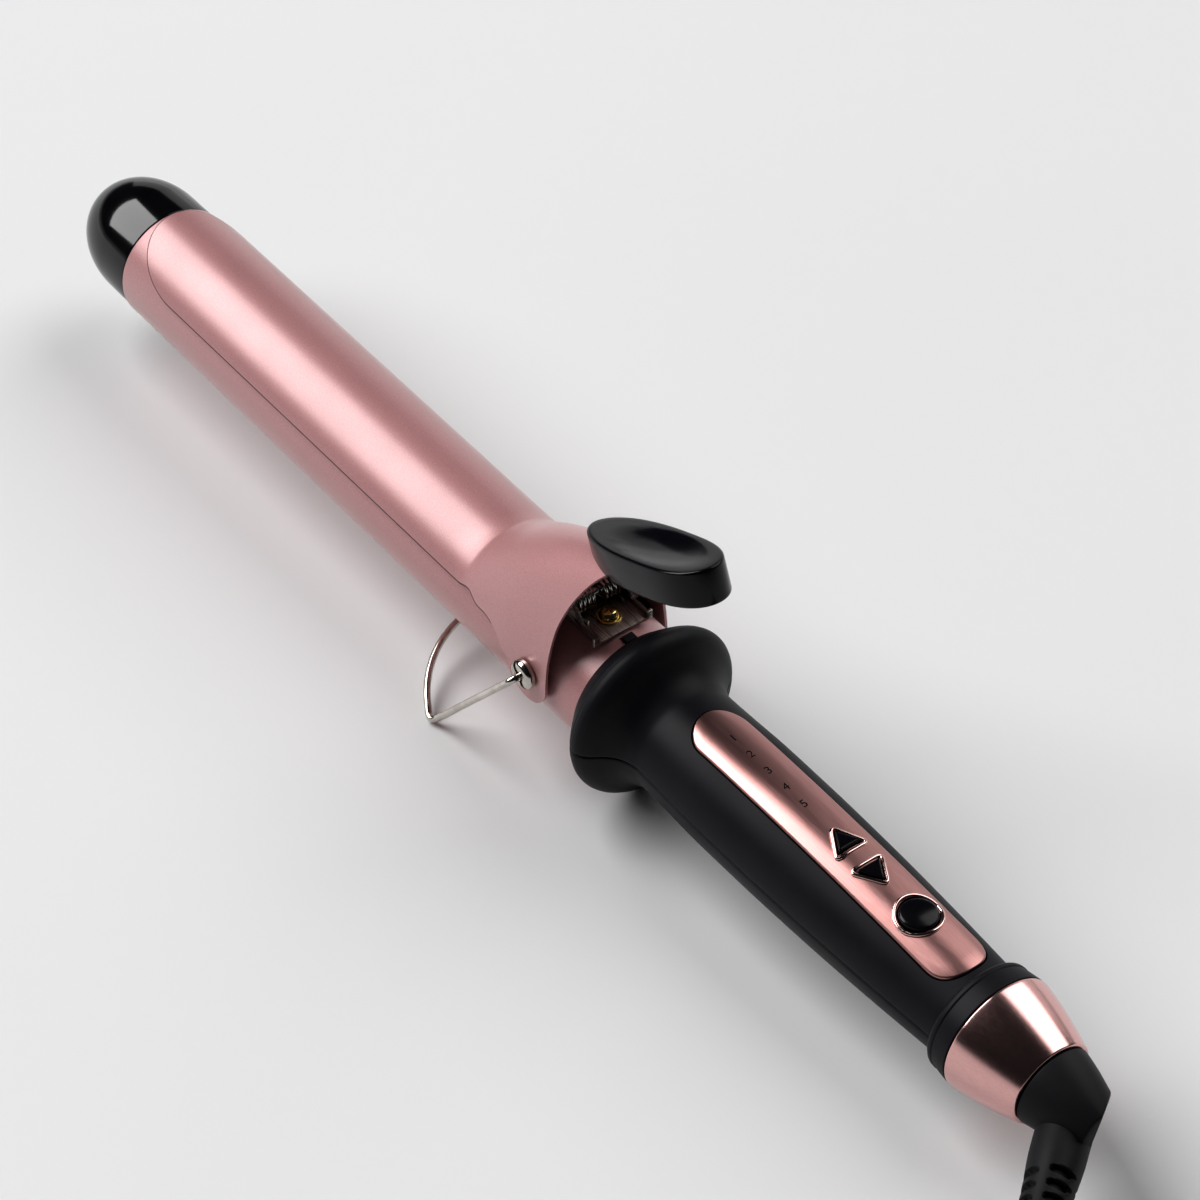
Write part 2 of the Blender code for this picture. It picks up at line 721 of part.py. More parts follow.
def stand_wire(carrier):
    tube("stand_wire", stand_route(), STAND_WIRE_R, carrier, nickel(), resolution=2)


# Handle

def handle_radius(x):
    return follow(HANDLE, x)


def handle_profile():
    outer = list(HANDLE)
    neck = [(HANDLE_END, NECK_R), (HANDLE_END + 4.7, NECK_R), (HANDLE_END + 4.7, NECK_R - 2.0)]
    inner = [(x, handle_radius(x) - HANDLE_WALL) for x in (304.0, 290.0, 270.0, 250.0, 230.0, 214.0)]
    front = [(208.6, 12.4), (205.9, 14.0), (205.6, 16.35), (194.0, 16.35)]
    return outer + neck + inner + front


SCREW_X = 217.0


def handle_shells(carrier):
    wall = handle_radius(SCREW_X) - 1.7
    upper = add_piece("handle_upper", half_turned(handle_profile(), 1), carrier, black_grip())
    boss = turned(((GAP, 1.5), (GAP, 3.1), (wall, 3.1), (wall, 0), (7.5, 0), (7.5, 1.5)), 20,
                  hollow=True)
    cut(upper, stood(boss, SCREW_X, 0), "UNION")
    cut(upper, panel_slab(PANEL_LIFT + 6, -PANEL_THICK - GAP, 0.45))
    for outline in button_outlines(0.3):
        cut(upper, extruded(outline, 7.0, 20.0))
    lower = add_piece("handle_lower", half_turned(handle_profile(), -1), carrier, black_grip())
    cut(lower, bar((SCREW_X, 0, -GAP), (SCREW_X, 0, -wall), 3.6, roll=4.0), "UNION")
    cut(lower, bar((SCREW_X, 0, 1), (SCREW_X, 0, -8), 1.6, roll=11.0))
    cut(lower, bar((SCREW_X, 0, -5.5), (SCREW_X, 0, -20), 3.0, roll=7.3))
    screw = turned(((0, 0), (0, 2.0), (0.6, 2.6), (2.0, 2.6), (2.0, 1.2), (12.0, 1.2), (12.4, 0)), 16)
    add_piece("handle_screw", stood(screw, SCREW_X, -7.8), carrier, nickel())


def panel_half(x, grow=0.0):
    """Half-width of the panel's rounded outline."""
    front = PANEL_FRONT - grow
    rear = PANEL_REAR + grow
    half = PANEL_HALF + grow
    if x <= front or x >= rear:
        return 0.0
    if x < front + half:
        return math.sqrt(half ** 2 - (front + half - x) ** 2)
    if x > rear - half:
        reach = (x - rear + half) / half
        return half * (1 - reach ** 2.4) ** (1 / 2.4)
    return half


def panel_slab(above, below, grow):
    """The panel's outline between two surfaces that follow the grip, raised by above and below."""
    front = PANEL_FRONT - grow
    rear = PANEL_REAR + grow
    half = PANEL_HALF + grow
    stations = [front + half * (1 - math.cos(math.pi / 2 * k / 5)) for k in range(5)]
    stations += [front + half + (rear - front - 2 * half) * k / 6 for k in range(7)]
    stations += [rear - half * (1 - math.sin(math.pi / 2 * k / 5)) for k in range(1, 6)]
    stations[0] += 0.15
    stations[-1] -= 0.05
    grids = []
    for raised in (above, below):
        grid = []
        for x in stations:
            wide = max(0.6, panel_half(x, grow))
            radius = handle_radius(x) + raised
            row = []
            for j in range(8):
                y = wide * (j / 3.5 - 1)
                row.append(Vector((x, y, math.sqrt(radius ** 2 - y ** 2))))
            grid.append(row)
        grids.append(grid)
    return slab(grids[0], grids[1])


UP_BUTTON_X = 267.9
DOWN_BUTTON_X = 278.6
POWER_BUTTON_X = 293.0


def triangle(centre_x, direction, size, corner=0.7):
    """A triangle with rounded corners; its point leads along X in the direction given."""
    tip = Vector((centre_x + direction * size, 0))
    left = Vector((centre_x - direction * size * 0.72, size * 1.02))
    right = Vector((left.x, -left.y))
    points = []
    corners = (tip, left, right) if direction < 0 else (tip, right, left)
    centre = (tip + left + right) / 3
    for k in range(3):
        at = corners[k]
        inward = (centre - at).normalized() * corner * 1.6
        before = (corners[k - 1] - at).normalized()
        after = (corners[(k + 1) % 3] - at).normalized()
        points += [at + before * corner * 1.3, at + inward * 0.35, at + after * corner * 1.3]
    return [(p.x, p.y) for p in points]


def button_outlines(grow=0.0):
    return (triangle(UP_BUTTON_X, -1, 3.0 + grow * 1.6), triangle(DOWN_BUTTON_X, 1, 3.0 + grow * 1.6),
            arc((POWER_BUTTON_X, 0), 4.5 + grow, 0, 345, 23))


def control_panel(carrier):
    piece = add_piece("control_panel", panel_slab(PANEL_LIFT, -PANEL_THICK, 0), carrier, rose_metal())
    for outline in button_outlines(0.3):
        cut(piece, extruded(outline, 7.0, 20.0))


def buttons(iron):
    """Three caps that slide towards the board; each carrier's origin is on its slide's line."""
    names = ("up_button", "down_button", "power_button")
    places = (UP_BUTTON_X, DOWN_BUTTON_X, POWER_BUTTON_X)
    for name, x, outline in zip(names, places, button_outlines()):
        origin = Vector((x, 0, handle_radius(x)))
        carrier = carrier_at(name + "_slide", iron, origin)
        top = handle_radius(x) + PANEL_LIFT + (0.9 if name == "power_button" else 0.7)
        shape = extruded(outline, BOARD_TOP + 4.9, top)
        add_piece(name, shape, carrier, black_gloss(), origin)


def carrier_at(name, parent, origin):
    """A joint's empty, which also remembers where it stands in the iron's frame."""
    carrier = joint_frame(name, parent, origin)
    carrier["origin_mm"] = tuple(origin)
    return carrier


def board(carrier):
    add_piece("circuit_board", box((222, -6.6, BOARD_TOP - 1.6), (301, 6.6, BOARD_TOP)),
              carrier, board_green())
    for number, x in enumerate((UP_BUTTON_X, DOWN_BUTTON_X, POWER_BUTTON_X), 1):
        base = box((x - 3, -3, BOARD_TOP + GAP), (x + 3, 3, BOARD_TOP + 3.6))
        piece = add_piece("tact_switch_" + str(number), base, carrier, black_rubber())
        cut(piece, bar((x, 0, BOARD_TOP + 3), (x, 0, BOARD_TOP + 4.2), 1.7), "UNION")
    for number in range(5):
        x = 230.0 + 6.15 * number
        base = box((x - 1.0, -1.6, BOARD_TOP + GAP), (x + 1.0, 1.6, BOARD_TOP + 1.6))
        add_piece("led_" + str(number + 1), base, carrier, led_lens())


# Rear end

def rear_ring(carrier):
    profile = ((313.0, 11.1), (313.0, 13.7), (313.5, 14.2), (319.4, 14.8), (319.4, 12.7),
               (317.6, 12.7), (317.6, 11.1))
    add_piece("rear_ring", turned(profile, hollow=True), carrier, black_grip())


def rear_cap(carrier):
    outer = []
    inner = []
    for k in range(6):
        t = k / 5
        x = CAP_RIM_X + (CAP_TAIL_X - CAP_RIM_X) * t
        r = CAP_RIM_R + (CAP_TAIL_R - CAP_RIM_R) * t ** 1.35
        outer.append((x, r))
        if k in (1, 3, 4):
            inner.append((x, r - 1.5))
    spigot = [(318.0, 11.3), (318.0, 12.4), (CAP_RIM_X, 12.4)]
    tail = [(CAP_TAIL_X, 7.3), (CAP_TAIL_X - 1.6, 7.3)]
    add_piece("rear_cap", turned(spigot + outer + tail + inner[::-1], hollow=True), carrier, rose_metal())


def cord_swivel(carrier):
    """A shaft in the rear cap, a cone behind it with a slanted end, and the elbow for the cord."""
    profile = ((318.5, 0), (318.5, 3.2), (328, 3.2), (328, 7.0), (330.9, 7.0), (330.9, 6.0),
               (333.1, 6.0), (333.1, 7.0), (CAP_TAIL_X + GAP, 7.0), (CAP_TAIL_X + GAP, 10.1),
               (341.5, 9.2), (352.5, 5.9), (352.5, 0))
    piece = add_piece("cord_swivel", turned(profile, 36), carrier, black_grip())
    slant = Vector((0.85, 0.51, -0.14)).normalized()
    face = RELIEF_ROOT + slant * 6.0
    turn = Vector((1, 0, 0)).rotation_difference(slant).to_matrix().to_4x4()
    wedge = box((0, -30, -30), (30, 30, 30))
    wedge.transform(Matrix.Translation(face) @ turn)
    cut(piece, wedge)
    root = RELIEF_ROOT - RELIEF_DIR * 5.0
    cut(piece, bar(root, RELIEF_ROOT + RELIEF_DIR * 5.0, 6.1, segments=24), "UNION")


def swivel_fittings(carrier):
    retainer = turned(((331.2, 6.3), (331.2, 9.3), (332.8, 9.3), (332.8, 6.3)), 32, hollow=True)
    add_piece("swivel_retainer", retainer, carrier, steel_plate())
    for number, x in enumerate((319.6, 323.4), 1):
        contact = turned(((x, 3.5), (x, 4.6), (x + 1.8, 4.6), (x + 1.8, 3.5)), 24, hollow=True)
        add_piece("slip_contact_" + str(number), contact, carrier, brass())


def strain_relief(carrier):
    start = RELIEF_ROOT + RELIEF_DIR * 5.3
    shape = turned(((0, 0), (0, 6.1), (10.7, 5.45), (26.0, 4.9), (RELIEF_LENGTH - 5.3, 4.3),
                    (RELIEF_LENGTH - 5.3, 0)), 24)
    turn = Vector((1, 0, 0)).rotation_difference(RELIEF_DIR).to_matrix().to_4x4()
    shape.transform(Matrix.Translation(start) @ turn)
    add_piece("strain_relief", shape, carrier, black_rubber())


# Loose cord, in the floor's frame: X and Y as in the iron's frame, Z above the floor

HANK_NEAR = 412.0
HANK_FAR = 514.0
HANK_Y = -18.0
HANK_HEIGHT = 11.6
HANK_PINCH = 10.0
TIE_X = 463.0


def pinch(x):
    """How far the tie draws the runs together at a place along the hank."""
    t = (x - HANK_NEAR) / (HANK_FAR - HANK_NEAR)
    return HANK_PINCH * math.sin(math.pi * t) ** 2


def hank_outline():
    run = [HANK_NEAR + (HANK_FAR - HANK_NEAR) * k / 12 for k in range(13)]
    outline = [(x, HANK_Y - 36.4 + pinch(x)) for x in run]
    for k in range(1, 13):
        angle = math.radians(-90 + 15 * k)
        radius = 36.4 + 3.0 * k / 12
        outline.append((HANK_FAR + radius * math.cos(angle), HANK_Y + radius * math.sin(angle)))
    outline += [(x, HANK_Y + 33.0 - pinch(x)) for x in reversed(run)]
    for k in range(1, 13):
        angle = math.radians(90 + 15 * k)
        radius = 33.0 - 3.0 * k / 12
        outline.append((HANK_NEAR + radius * math.cos(angle), HANK_Y + radius * math.sin(angle)))
    return outline


def relief_end():
    """The free end of the strain relief, in the floor's frame, mm."""
    tip = RELIEF_ROOT + RELIEF_DIR * (RELIEF_LENGTH + GAP)
    world = TIPPED @ tip + Vector((0, 0, FLOOR_DROP))
    return world, (TIPPED.to_3x3() @ RELIEF_DIR).normalized()


def lead_route():
    """From the strain relief down to the floor and round to the hank."""
    start, heading = relief_end()
    run_y = HANK_Y - 33.5
    knots = [start, start + heading * 6.0, Vector((381.3, -48.3, 9.6)), Vector((388.0, -50.8, 6.7)),
             Vector((395.5, run_y, 4.4)), Vector((404.0, run_y, 3.1)), Vector((HANK_NEAR - GAP, run_y, 3.05))]
    return smooth_route(knots, 7.0)


def tail_route():
    """From the hank to the plug, beside the drawn-in runs."""
    knots = [Vector((HANK_FAR - 2 * GAP, HANK_Y + 36.5, 3.05)), Vector((509.5, 18.5, 3.05)),
             Vector((503.5, 19.1, 4.4)), Vector((498.5, 19.5, 5.8)), Vector((494.3, 19.5, 5.95))]
    return smooth_route(knots, 6.0)


def loose_cord(floor):
    tube("power_cord", lead_route(), CORD_R, floor, black_rubber(), resolution=3)
    tube("cord_tail", tail_route(), CORD_R, floor, black_rubber(), resolution=3)
    hank = add_piece("cord_hank", extruded(hank_outline(), 0.05, HANK_HEIGHT), floor, black_rubber())
    cut(hank, box((TIE_X - 7.5, HANK_Y - 40, -2), (TIE_X + 7.5, HANK_Y + 40, 1.6)))
    low = HANK_Y - 36.4 + HANK_PINCH - 3 * GAP
    high = HANK_Y + 33.0 - HANK_PINCH + 3 * GAP
    tie = box((TIE_X - 6, low - 1.2, 0.1), (TIE_X + 6, high + 1.2, HANK_HEIGHT + GAP + 1.2))
    piece = add_piece("hank_tie", tie, floor, black_grip())
    cut(piece, box((TIE_X - 9, low, 1.3), (TIE_X + 9, high, HANK_HEIGHT + GAP)))


def plug(floor):
    y = 19.5
    body = bmesh.new()
    loops = []
    sections = ((493.7, 3.9, 3.9), (482.0, 4.7, 4.7), (478.5, 8.6, 5.5), (474.0, 10.2, 5.8),
                (458.0, 10.4, 5.8), (453.0, 9.8, 5.4))
    for x, half_y, half_z in sections:
        loop = []
        for k in range(20):
            angle = 2 * math.pi * k / 20
            c, s = math.cos(angle), math.sin(angle)
            power = 0.62 if half_y > half_z else 1.0
            loop.append(body.verts.new((x, y + half_y * math.copysign(abs(c) ** power, c),
                                        5.95 + half_z * math.copysign(abs(s) ** power, s))))
        loops.append(loop)
    for a, b in zip(loops, loops[1:]):
        for k in range(20):
            n = (k + 1) % 20
            body.faces.new((a[k], a[n], b[n], b[k]))
    body.faces.new(loops[0])
    body.faces.new(loops[-1])
    add_piece("plug_body", body, floor, black_rubber())
    for number, side in ((1, -1), (2, 1)):
        middle = y + side * 6.35
        blade = box((436.0, middle - 0.75, 2.8), (453.0 - GAP, middle + 0.75, 9.1))
        add_piece("plug_pin_" + str(number), blade, floor, brass())


def build():
    clear_scene()
    iron = frame("iron_frame", Matrix.Translation((CENTRE_X, 0, FLOOR_DROP)) @ TIPPED)
    barrel_tube(iron)
    tip_cap(iron)
    tip_insulator(iron)
    heating_core(iron)
    barrel_bush(iron)
    spring_bracket(iron)
    bracket_screw(iron)
    spring_pin(iron)
    clamp_spring(iron)
    pivot_hardware(iron)
    handle_shells(iron)
    control_panel(iron)
    board(iron)
    buttons(iron)
    rear_ring(iron)
    rear_cap(iron)
    clamp = carrier_at("clamp_axis", iron, PIVOT)
    clamp_blade(clamp)
    thumb_lever(clamp)
    lever_screw(clamp)
    stand = carrier_at("stand_axis", iron, PIVOT)
    stand_wire(stand)
    swivel = carrier_at("swivel_axis", iron, Vector((CAP_TAIL_X, 0, 0)))
    cord_swivel(swivel)
    swivel_fittings(swivel)
    strain_relief(swivel)
    floor = frame("floor_frame", Matrix.Translation((CENTRE_X, 0, 0)))
    loose_cord(floor)
    plug(floor)
    bpy.context.view_layer.update()


build()
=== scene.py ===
"""Looks of the curling iron: fine meshes, materials, cord, light and camera around the frame.

Lengths are in millimetres. The iron's own frame has the barrel's axis as X, the barrel's front rim
at x = 0 and the control panel facing +Z; IRON takes it to the row frame. The loose cord is drawn
in the floor's frame, with Z above the surface, and FLOOR takes that one to the row frame.
"""
import json
import math

import bmesh
import bpy
from mathutils import Matrix, Vector


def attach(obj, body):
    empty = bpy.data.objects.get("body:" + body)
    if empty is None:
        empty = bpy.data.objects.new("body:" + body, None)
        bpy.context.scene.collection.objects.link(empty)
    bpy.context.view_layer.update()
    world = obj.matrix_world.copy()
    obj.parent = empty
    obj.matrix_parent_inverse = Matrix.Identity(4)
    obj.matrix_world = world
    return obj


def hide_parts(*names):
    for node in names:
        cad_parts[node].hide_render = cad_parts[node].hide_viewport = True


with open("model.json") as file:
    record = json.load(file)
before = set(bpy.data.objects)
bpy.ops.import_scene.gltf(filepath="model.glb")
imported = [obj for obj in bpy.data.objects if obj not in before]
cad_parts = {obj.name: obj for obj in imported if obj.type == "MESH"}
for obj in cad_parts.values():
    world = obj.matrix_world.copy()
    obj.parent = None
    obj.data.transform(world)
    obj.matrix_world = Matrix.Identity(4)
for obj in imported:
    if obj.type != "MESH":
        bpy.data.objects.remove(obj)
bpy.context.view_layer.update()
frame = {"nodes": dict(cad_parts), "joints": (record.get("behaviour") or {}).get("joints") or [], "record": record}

MM = 0.001

# Driving dimensions as the CAD has them, mm; angles are in radians
BARREL_R = 16.0
BARREL_BORE = 14.6
BARREL_END = 203.0
CAP_R = 15.7
CAP_STRAIGHT = 10.5
CAP_DOME = 20.5
SHEET = 0.7
LIP = 0.03
PIVOT = Vector((177.0, 0.0, 3.6))
LUG_Y = 17.6
LUG_R = 8.0
BLADE_W = 63.5 / 90
BLADE_FRONT = 1.4
BLADE_NOSE = 20.6
HOOD_FRONT = 147.0
HOOD_END = 197.5
LEVER_SLOPE = math.radians(23.5)
LEVER_ALONG = Vector((math.cos(LEVER_SLOPE), 0, math.sin(LEVER_SLOPE)))
LEVER_UP = Vector((-math.sin(LEVER_SLOPE), 0, math.cos(LEVER_SLOPE)))
LEVER_NOSE = Vector((178.0, 0.0, 42.3))
LEVER_LENGTH = 46.0
LEVER_DEPTH = 9.0
LEVER_HALF = 8.1
LEVER_SCREW_X = 186.0
BRACKET_TOP = 17.1
BRACKET_SHEET = 0.8
BRACKET_REAR = 190.0
BRACKET_SCREW_X = 184.5
SPRING_AXIS = Vector((178.5, 0.0, 20.4))
SPRING_R = 2.8
SPRING_WIRE = 0.4
STAND_WIRE_R = 0.9
STAND_FOOT = Vector((155.8, 29.5))
STAND_ARC_R = 32.3
STAND_ARC_BACK = 11.2
COLLAR_X = 201.2
COLLAR_R = 22.8
HANDLE_END = 312.6
PANEL_FRONT = 219.8
PANEL_REAR = 310.6
PANEL_HALF = 7.2
PANEL_LIFT = 0.4
UP_X = 267.9
DOWN_X = 278.6
POWER_X = 293.0
SCALE_FIRST_X = 230.0
SCALE_STEP = 6.15
CAP_RIM_X = 319.7
CAP_RIM_R = 14.86
CAP_TAIL_X = 336.9
CAP_TAIL_R = 10.62
RELIEF_ROOT = Vector((346.2, -4.5, -3.6))
RELIEF_DIR = Vector((0.576, -0.815, -0.06)).normalized()
RELIEF_LENGTH = 42.0
CORD_R = 3.0
HANK_NEAR = 412.0
HANK_FAR = 514.0
HANK_Y = -18.0
HANK_PINCH = 10.0
TIE_X = 463.0
PLUG_Y = 19.5
PLUG_Z = 5.95

# Metres: half the floor's side, and the gap that keeps the floor off the part
FLOOR_HALF = 7.5
FLOOR_GAP = 0.0002

# Curves along the barrel's axis: (x, height) of the clamp's crest, (x, half width) of its sides,
# (w, x) of its rear edge, and (x, radius) of the handle

CREST = ((BLADE_FRONT, 16.65), (144, 16.65), (147, 16.95), (149, 17.9), (151, 19.3), (155, 22.3), (160, 25.8),
         (170, 31.6), (180, 36.4), (190, 40.8), (198, 44.3))
FLANK = ((BLADE_FRONT, 16.65), (143, 16.65), (150, 16.8), (160, 17.25), (168, LUG_Y), (198, LUG_Y))
REAR_EDGE = ((0.0, 197.5), (0.1, 196.2), (0.182, 192.5), (0.328, 188.5), (0.513, 185.5),
             (0.651, 184.3), (0.8, 184.1), (1.0, 184.6))
HANDLE = ((194.0, 17.5), (198.8, 22.0), (200.0, 22.7), (COLLAR_X, COLLAR_R), (202.6, 22.4),
          (204.2, 21.2), (206.4, 18.2), (208.4, 16.2), (210.6, 15.0), (214.0, 14.25), (222.0, 14.4),
          (235.0, 14.75), (250.0, 14.7), (270.0, 14.3), (290.0, 13.5), (HANDLE_END, 12.2))


# Frames, read from the swivel's joint

SWIVEL = next(joint for joint in frame["joints"] if joint["name"] == "cord_swivel_turn")
ALONG = Vector(SWIVEL["axis"]).normalized()
START = Vector(SWIVEL["pos_m"]) - ALONG * CAP_TAIL_X * MM
ACROSS = Vector((0, 1, 0))
TURN = Matrix((ALONG, ACROSS, ALONG.cross(ACROSS))).transposed()
IRON = Matrix.Translation(START) @ TURN.to_4x4() @ Matrix.Scale(MM, 4)
FLOOR = Matrix.Translation((START.x, 0, 0)) @ Matrix.Scale(MM, 4)
TILT = -math.asin(ALONG.z)
FLOOR_DROP = START.z / MM


# Curves and outlines

def follow(table, x):
    """Reads a smooth curve through (x, value) points, never overshooting between them."""
    if x <= table[0][0]:
        return table[0][1]
    if x >= table[-1][0]:
        return table[-1][1]
    slopes = [(b[1] - a[1]) / (b[0] - a[0]) for a, b in zip(table, table[1:])]
    tangents = [slopes[0]]
    for a, b in zip(slopes, slopes[1:]):
        tangents.append(0.0 if a * b <= 0 else 2 * a * b / (a + b))
    tangents.append(slopes[-1])
    k = max(i for i in range(len(table) - 1) if table[i][0] <= x)
    (x0, y0), (x1, y1) = table[k], table[k + 1]
    h = x1 - x0
    t = (x - x0) / h
    return ((2 * t ** 3 - 3 * t ** 2 + 1) * y0 + (t ** 3 - 2 * t ** 2 + t) * h * tangents[k]
            + (3 * t ** 2 - 2 * t ** 3) * y1 + (t ** 3 - t ** 2) * h * tangents[k + 1])


def blend(a, b, t):
    """Goes smoothly from 0 at a to 1 at b."""
    s = min(1.0, max(0.0, (t - a) / (b - a)))
    return s * s * (3 - 2 * s)


def arc(centre, radius, first, last, steps):
    """Points on a circle, angles in degrees."""
    points = []
    for k in range(steps + 1):
        angle = math.radians(first + (last - first) * k / steps)
        points.append((centre[0] + radius * math.cos(angle), centre[1] + radius * math.sin(angle)))
    return points


def squarish(angle, power):
    """A point of the unit circle, or of a squarer outline where the power is under 1."""
    c = math.cos(angle)
    s = math.sin(angle)
    return math.copysign(abs(c) ** power, c), math.copysign(abs(s) ** power, s)


def smooth_route(knots, step):
    """Even points on a Catmull-Rom curve through the knots."""
    knots = [Vector(knot) for knot in knots]
    padded = [2 * knots[0] - knots[1], *knots, 2 * knots[-1] - knots[-2]]
    fine = []
    steps = 24
    for a, b, c, d in zip(padded, padded[1:], padded[2:], padded[3:]):
        for k in range(steps):
            t = k / steps
            fine.append(0.5 * (2 * b + (c - a) * t + (2 * a - 5 * b + 4 * c - d) * t ** 2
                               + (3 * b - 3 * c + d - a) * t ** 3))
    fine.append(knots[-1])
    total = sum((b - a).length for a, b in zip(fine, fine[1:]))
    count = max(2, round(total / step))
    points = [fine[0]]
    travelled = 0.0
    for a, b in zip(fine, fine[1:]):
        length = (b - a).length
        while len(points) < count and travelled + length >= total * len(points) / count:
            points.append(a.lerp(b, (total * len(points) / count - travelled) / length))
        travelled += length
    points.append(fine[-1])
    return points


def rounded(corners, closed=True, steps=4):
    """An outline with its corners rounded. Each corner is (a, b, radius)."""
    points = []
    count = len(corners)
    for k, (a, b, radius) in enumerate(corners):
        here = Vector((a, b))
        if radius == 0 or (not closed and k in (0, count - 1)):
            points.append((a, b))
            continue
        before = Vector(corners[k - 1][:2]) - here
        after = Vector(corners[(k + 1) % count][:2]) - here
        reach = min(radius, before.length * 0.49, after.length * 0.49)
        first = here + before.normalized() * reach
        last = here + after.normalized() * reach
        for i in range(steps + 1):
            t = i / steps
            at = first * (1 - t) ** 2 + here * 2 * t * (1 - t) + last * t ** 2
            points.append((at.x, at.y))
    return points


def mirrored(points):
    """The same points on the iron's other side, in the opposite order."""
    return [Vector((p.x, -p.y, p.z)) for p in reversed(points)]


# Meshes

def aligned(direction):
    """The turn that takes X to a direction."""
    return Vector((1, 0, 0)).rotation_difference(Vector(direction)).to_matrix().to_4x4()


def lofted(rings, capped=True):
    """Joins closed rings of points, and may fill the end ones. A ring can be a single point."""
    shape = bmesh.new()
    made = [[shape.verts.new(p) for p in ring] for ring in rings]
    for a, b in zip(made, made[1:]):
        for k in range(max(len(a), len(b))):
            n = k + 1
            corners = dict.fromkeys((a[k % len(a)], a[n % len(a)], b[n % len(b)], b[k % len(b)]))
            if len(corners) > 2:
                shape.faces.new(list(corners))
    if capped:
        shape.faces.new(made[0])
        shape.faces.new(made[-1])
    return shape


def turned(profile, segments=128, hollow=True):
    """Turns (x, r) points about X. A hollow profile closes on itself; a solid one ends on the axis."""
    rings = []
    for x, r in profile:
        angles = [2 * math.pi * k / segments for k in range(segments if r > 1e-6 else 1)]
        rings.append([(x, r * math.cos(a), r * math.sin(a)) for a in angles])
    return lofted(rings + rings[:1] if hollow else rings, capped=False)


def turned_solid(profile, segments):
    """A turned solid. Each corner of the profile is (x, r, radius), and its ends are on the axis."""
    return turned(rounded(profile, closed=False), segments, hollow=False)


def prism(outline, low, high, axis="Z"):
    """A straight solid along Z from an outline in (x, y), or along Y from one in (x, z)."""
    return lofted([[(a, b, c) if axis == "Z" else (a, c, b) for a, b in outline] for c in (low, high)])


def block(low, high):
    """A box between two opposite corners."""
    (x0, y0, z0), (x1, y1, z1) = low, high
    return prism([(x0, y0), (x1, y0), (x1, y1), (x0, y1)], z0, z1)


def rod(start, end, radius):
    """A cylinder from one point to another."""
    start = Vector(start)
    length = (Vector(end) - start).length
    shape = turned(((0, 0), (0, radius), (length, radius), (length, 0)), 48, hollow=False)
    shape.transform(Matrix.Translation(start) @ aligned(Vector(end) - start))
    return shape


def stood(shape, x, z):
    """A turned shape stood upright, its start at height z over a place on the axis."""
    shape.transform(Matrix.Translation((x, 0, z)) @ Matrix.Rotation(-math.pi / 2, 4, "Y"))
    return shape


def in_scene(name, data):
    """A new object that shows the data."""
    made = bpy.data.objects.new(name, data)
    bpy.context.scene.collection.objects.link(made)
    return made


def to_mesh(name, shape, place):
    """A mesh in metres from a shape in millimetres, which is used up; points that meet are joined."""
    bmesh.ops.remove_doubles(shape, verts=shape.verts, dist=0.0005)
    bmesh.ops.recalc_face_normals(shape, faces=shape.faces)
    shape.transform(place)
    mesh = bpy.data.meshes.new(name)
    shape.to_mesh(mesh)
    shape.free()
    return mesh


def apply_modifiers(piece):
    """Makes what the modifiers give the piece's own mesh."""
    bpy.context.view_layer.update()
    graph = bpy.context.evaluated_depsgraph_get()
    mesh = bpy.data.meshes.new_from_object(piece.evaluated_get(graph))
    piece.modifiers.clear()
    piece.data = mesh


def settle(piece, material, body, replaced, slot=None):
    """Gives a new piece its material and its body, and hides the CAD nodes it stands for; the slot it works out
    goes unused.
    """
    piece.data.materials.clear()
    piece.data.materials.append(FINISH[material])
    slot = slot or SLOT_OF.get(material, material)
    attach(piece, body)
    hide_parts(*replaced)
    return piece


def add(name, shape, material, body, *replaced, cuts=(), unions=(), bevel=0.0, sharp=30.0, place=IRON,
        slot=None):
    """A mesh piece from a shape in millimetres, with shapes cut out of it or joined to it."""
    piece = in_scene(name, to_mesh(name, shape, place))
    tools = []
    for operation, shapes in (("UNION", unions), ("DIFFERENCE", cuts)):
        for tool_shape in shapes:
            tool = in_scene("tool", to_mesh("tool", tool_shape, place))
            tools.append(tool)
            modifier = piece.modifiers.new("join", "BOOLEAN")
            modifier.operation = operation
            modifier.solver = "EXACT"
            modifier.object = tool
    if bevel:
        modifier = piece.modifiers.new("edge", "BEVEL")
        modifier.width = bevel * MM
        modifier.segments = 2
        modifier.angle_limit = math.radians(40)
    if piece.modifiers:
        apply_modifiers(piece)
    for tool in tools:
        bpy.data.objects.remove(tool)
    piece.data.shade_smooth()
    piece.data.set_sharp_from_angle(angle=math.radians(sharp))
    return settle(piece, material, body, replaced, slot)


def add_wire(name, points, radius, material, body, *replaced, place=IRON, cyclic=False, resolution=6):
    """A round wire along points in millimetres, as a curve with a bevel."""
    curve = bpy.data.curves.new(name, "CURVE")
    curve.dimensions = "3D"
    curve.bevel_depth = radius * MM
    curve.bevel_resolution = resolution
    curve.use_fill_caps = True
    spline = curve.splines.new("POLY")
    spline.points.add(len(points) - 1)
    spline.use_cyclic_u = cyclic
    for knot, point in zip(spline.points, points):
        knot.co = (*(place @ Vector(point)), 1.0)
    return settle(in_scene(name, curve), material, body, replaced)


def inset(outline, distance):
    """A closed outline moved inward along its own normals."""
    following = outline[1:] + outline[:1]
    area = sum(a[0] * b[1] - b[0] * a[1] for a, b in zip(outline, following))
    inward = distance if area > 0 else -distance
    moved = []
    for before, (a, b), after in zip(outline[-1:] + outline[:-1], outline, following):
        along = (Vector(after) - Vector(before)).normalized()
        moved.append((a - along.y * inward, b + along.x * inward))
    return moved


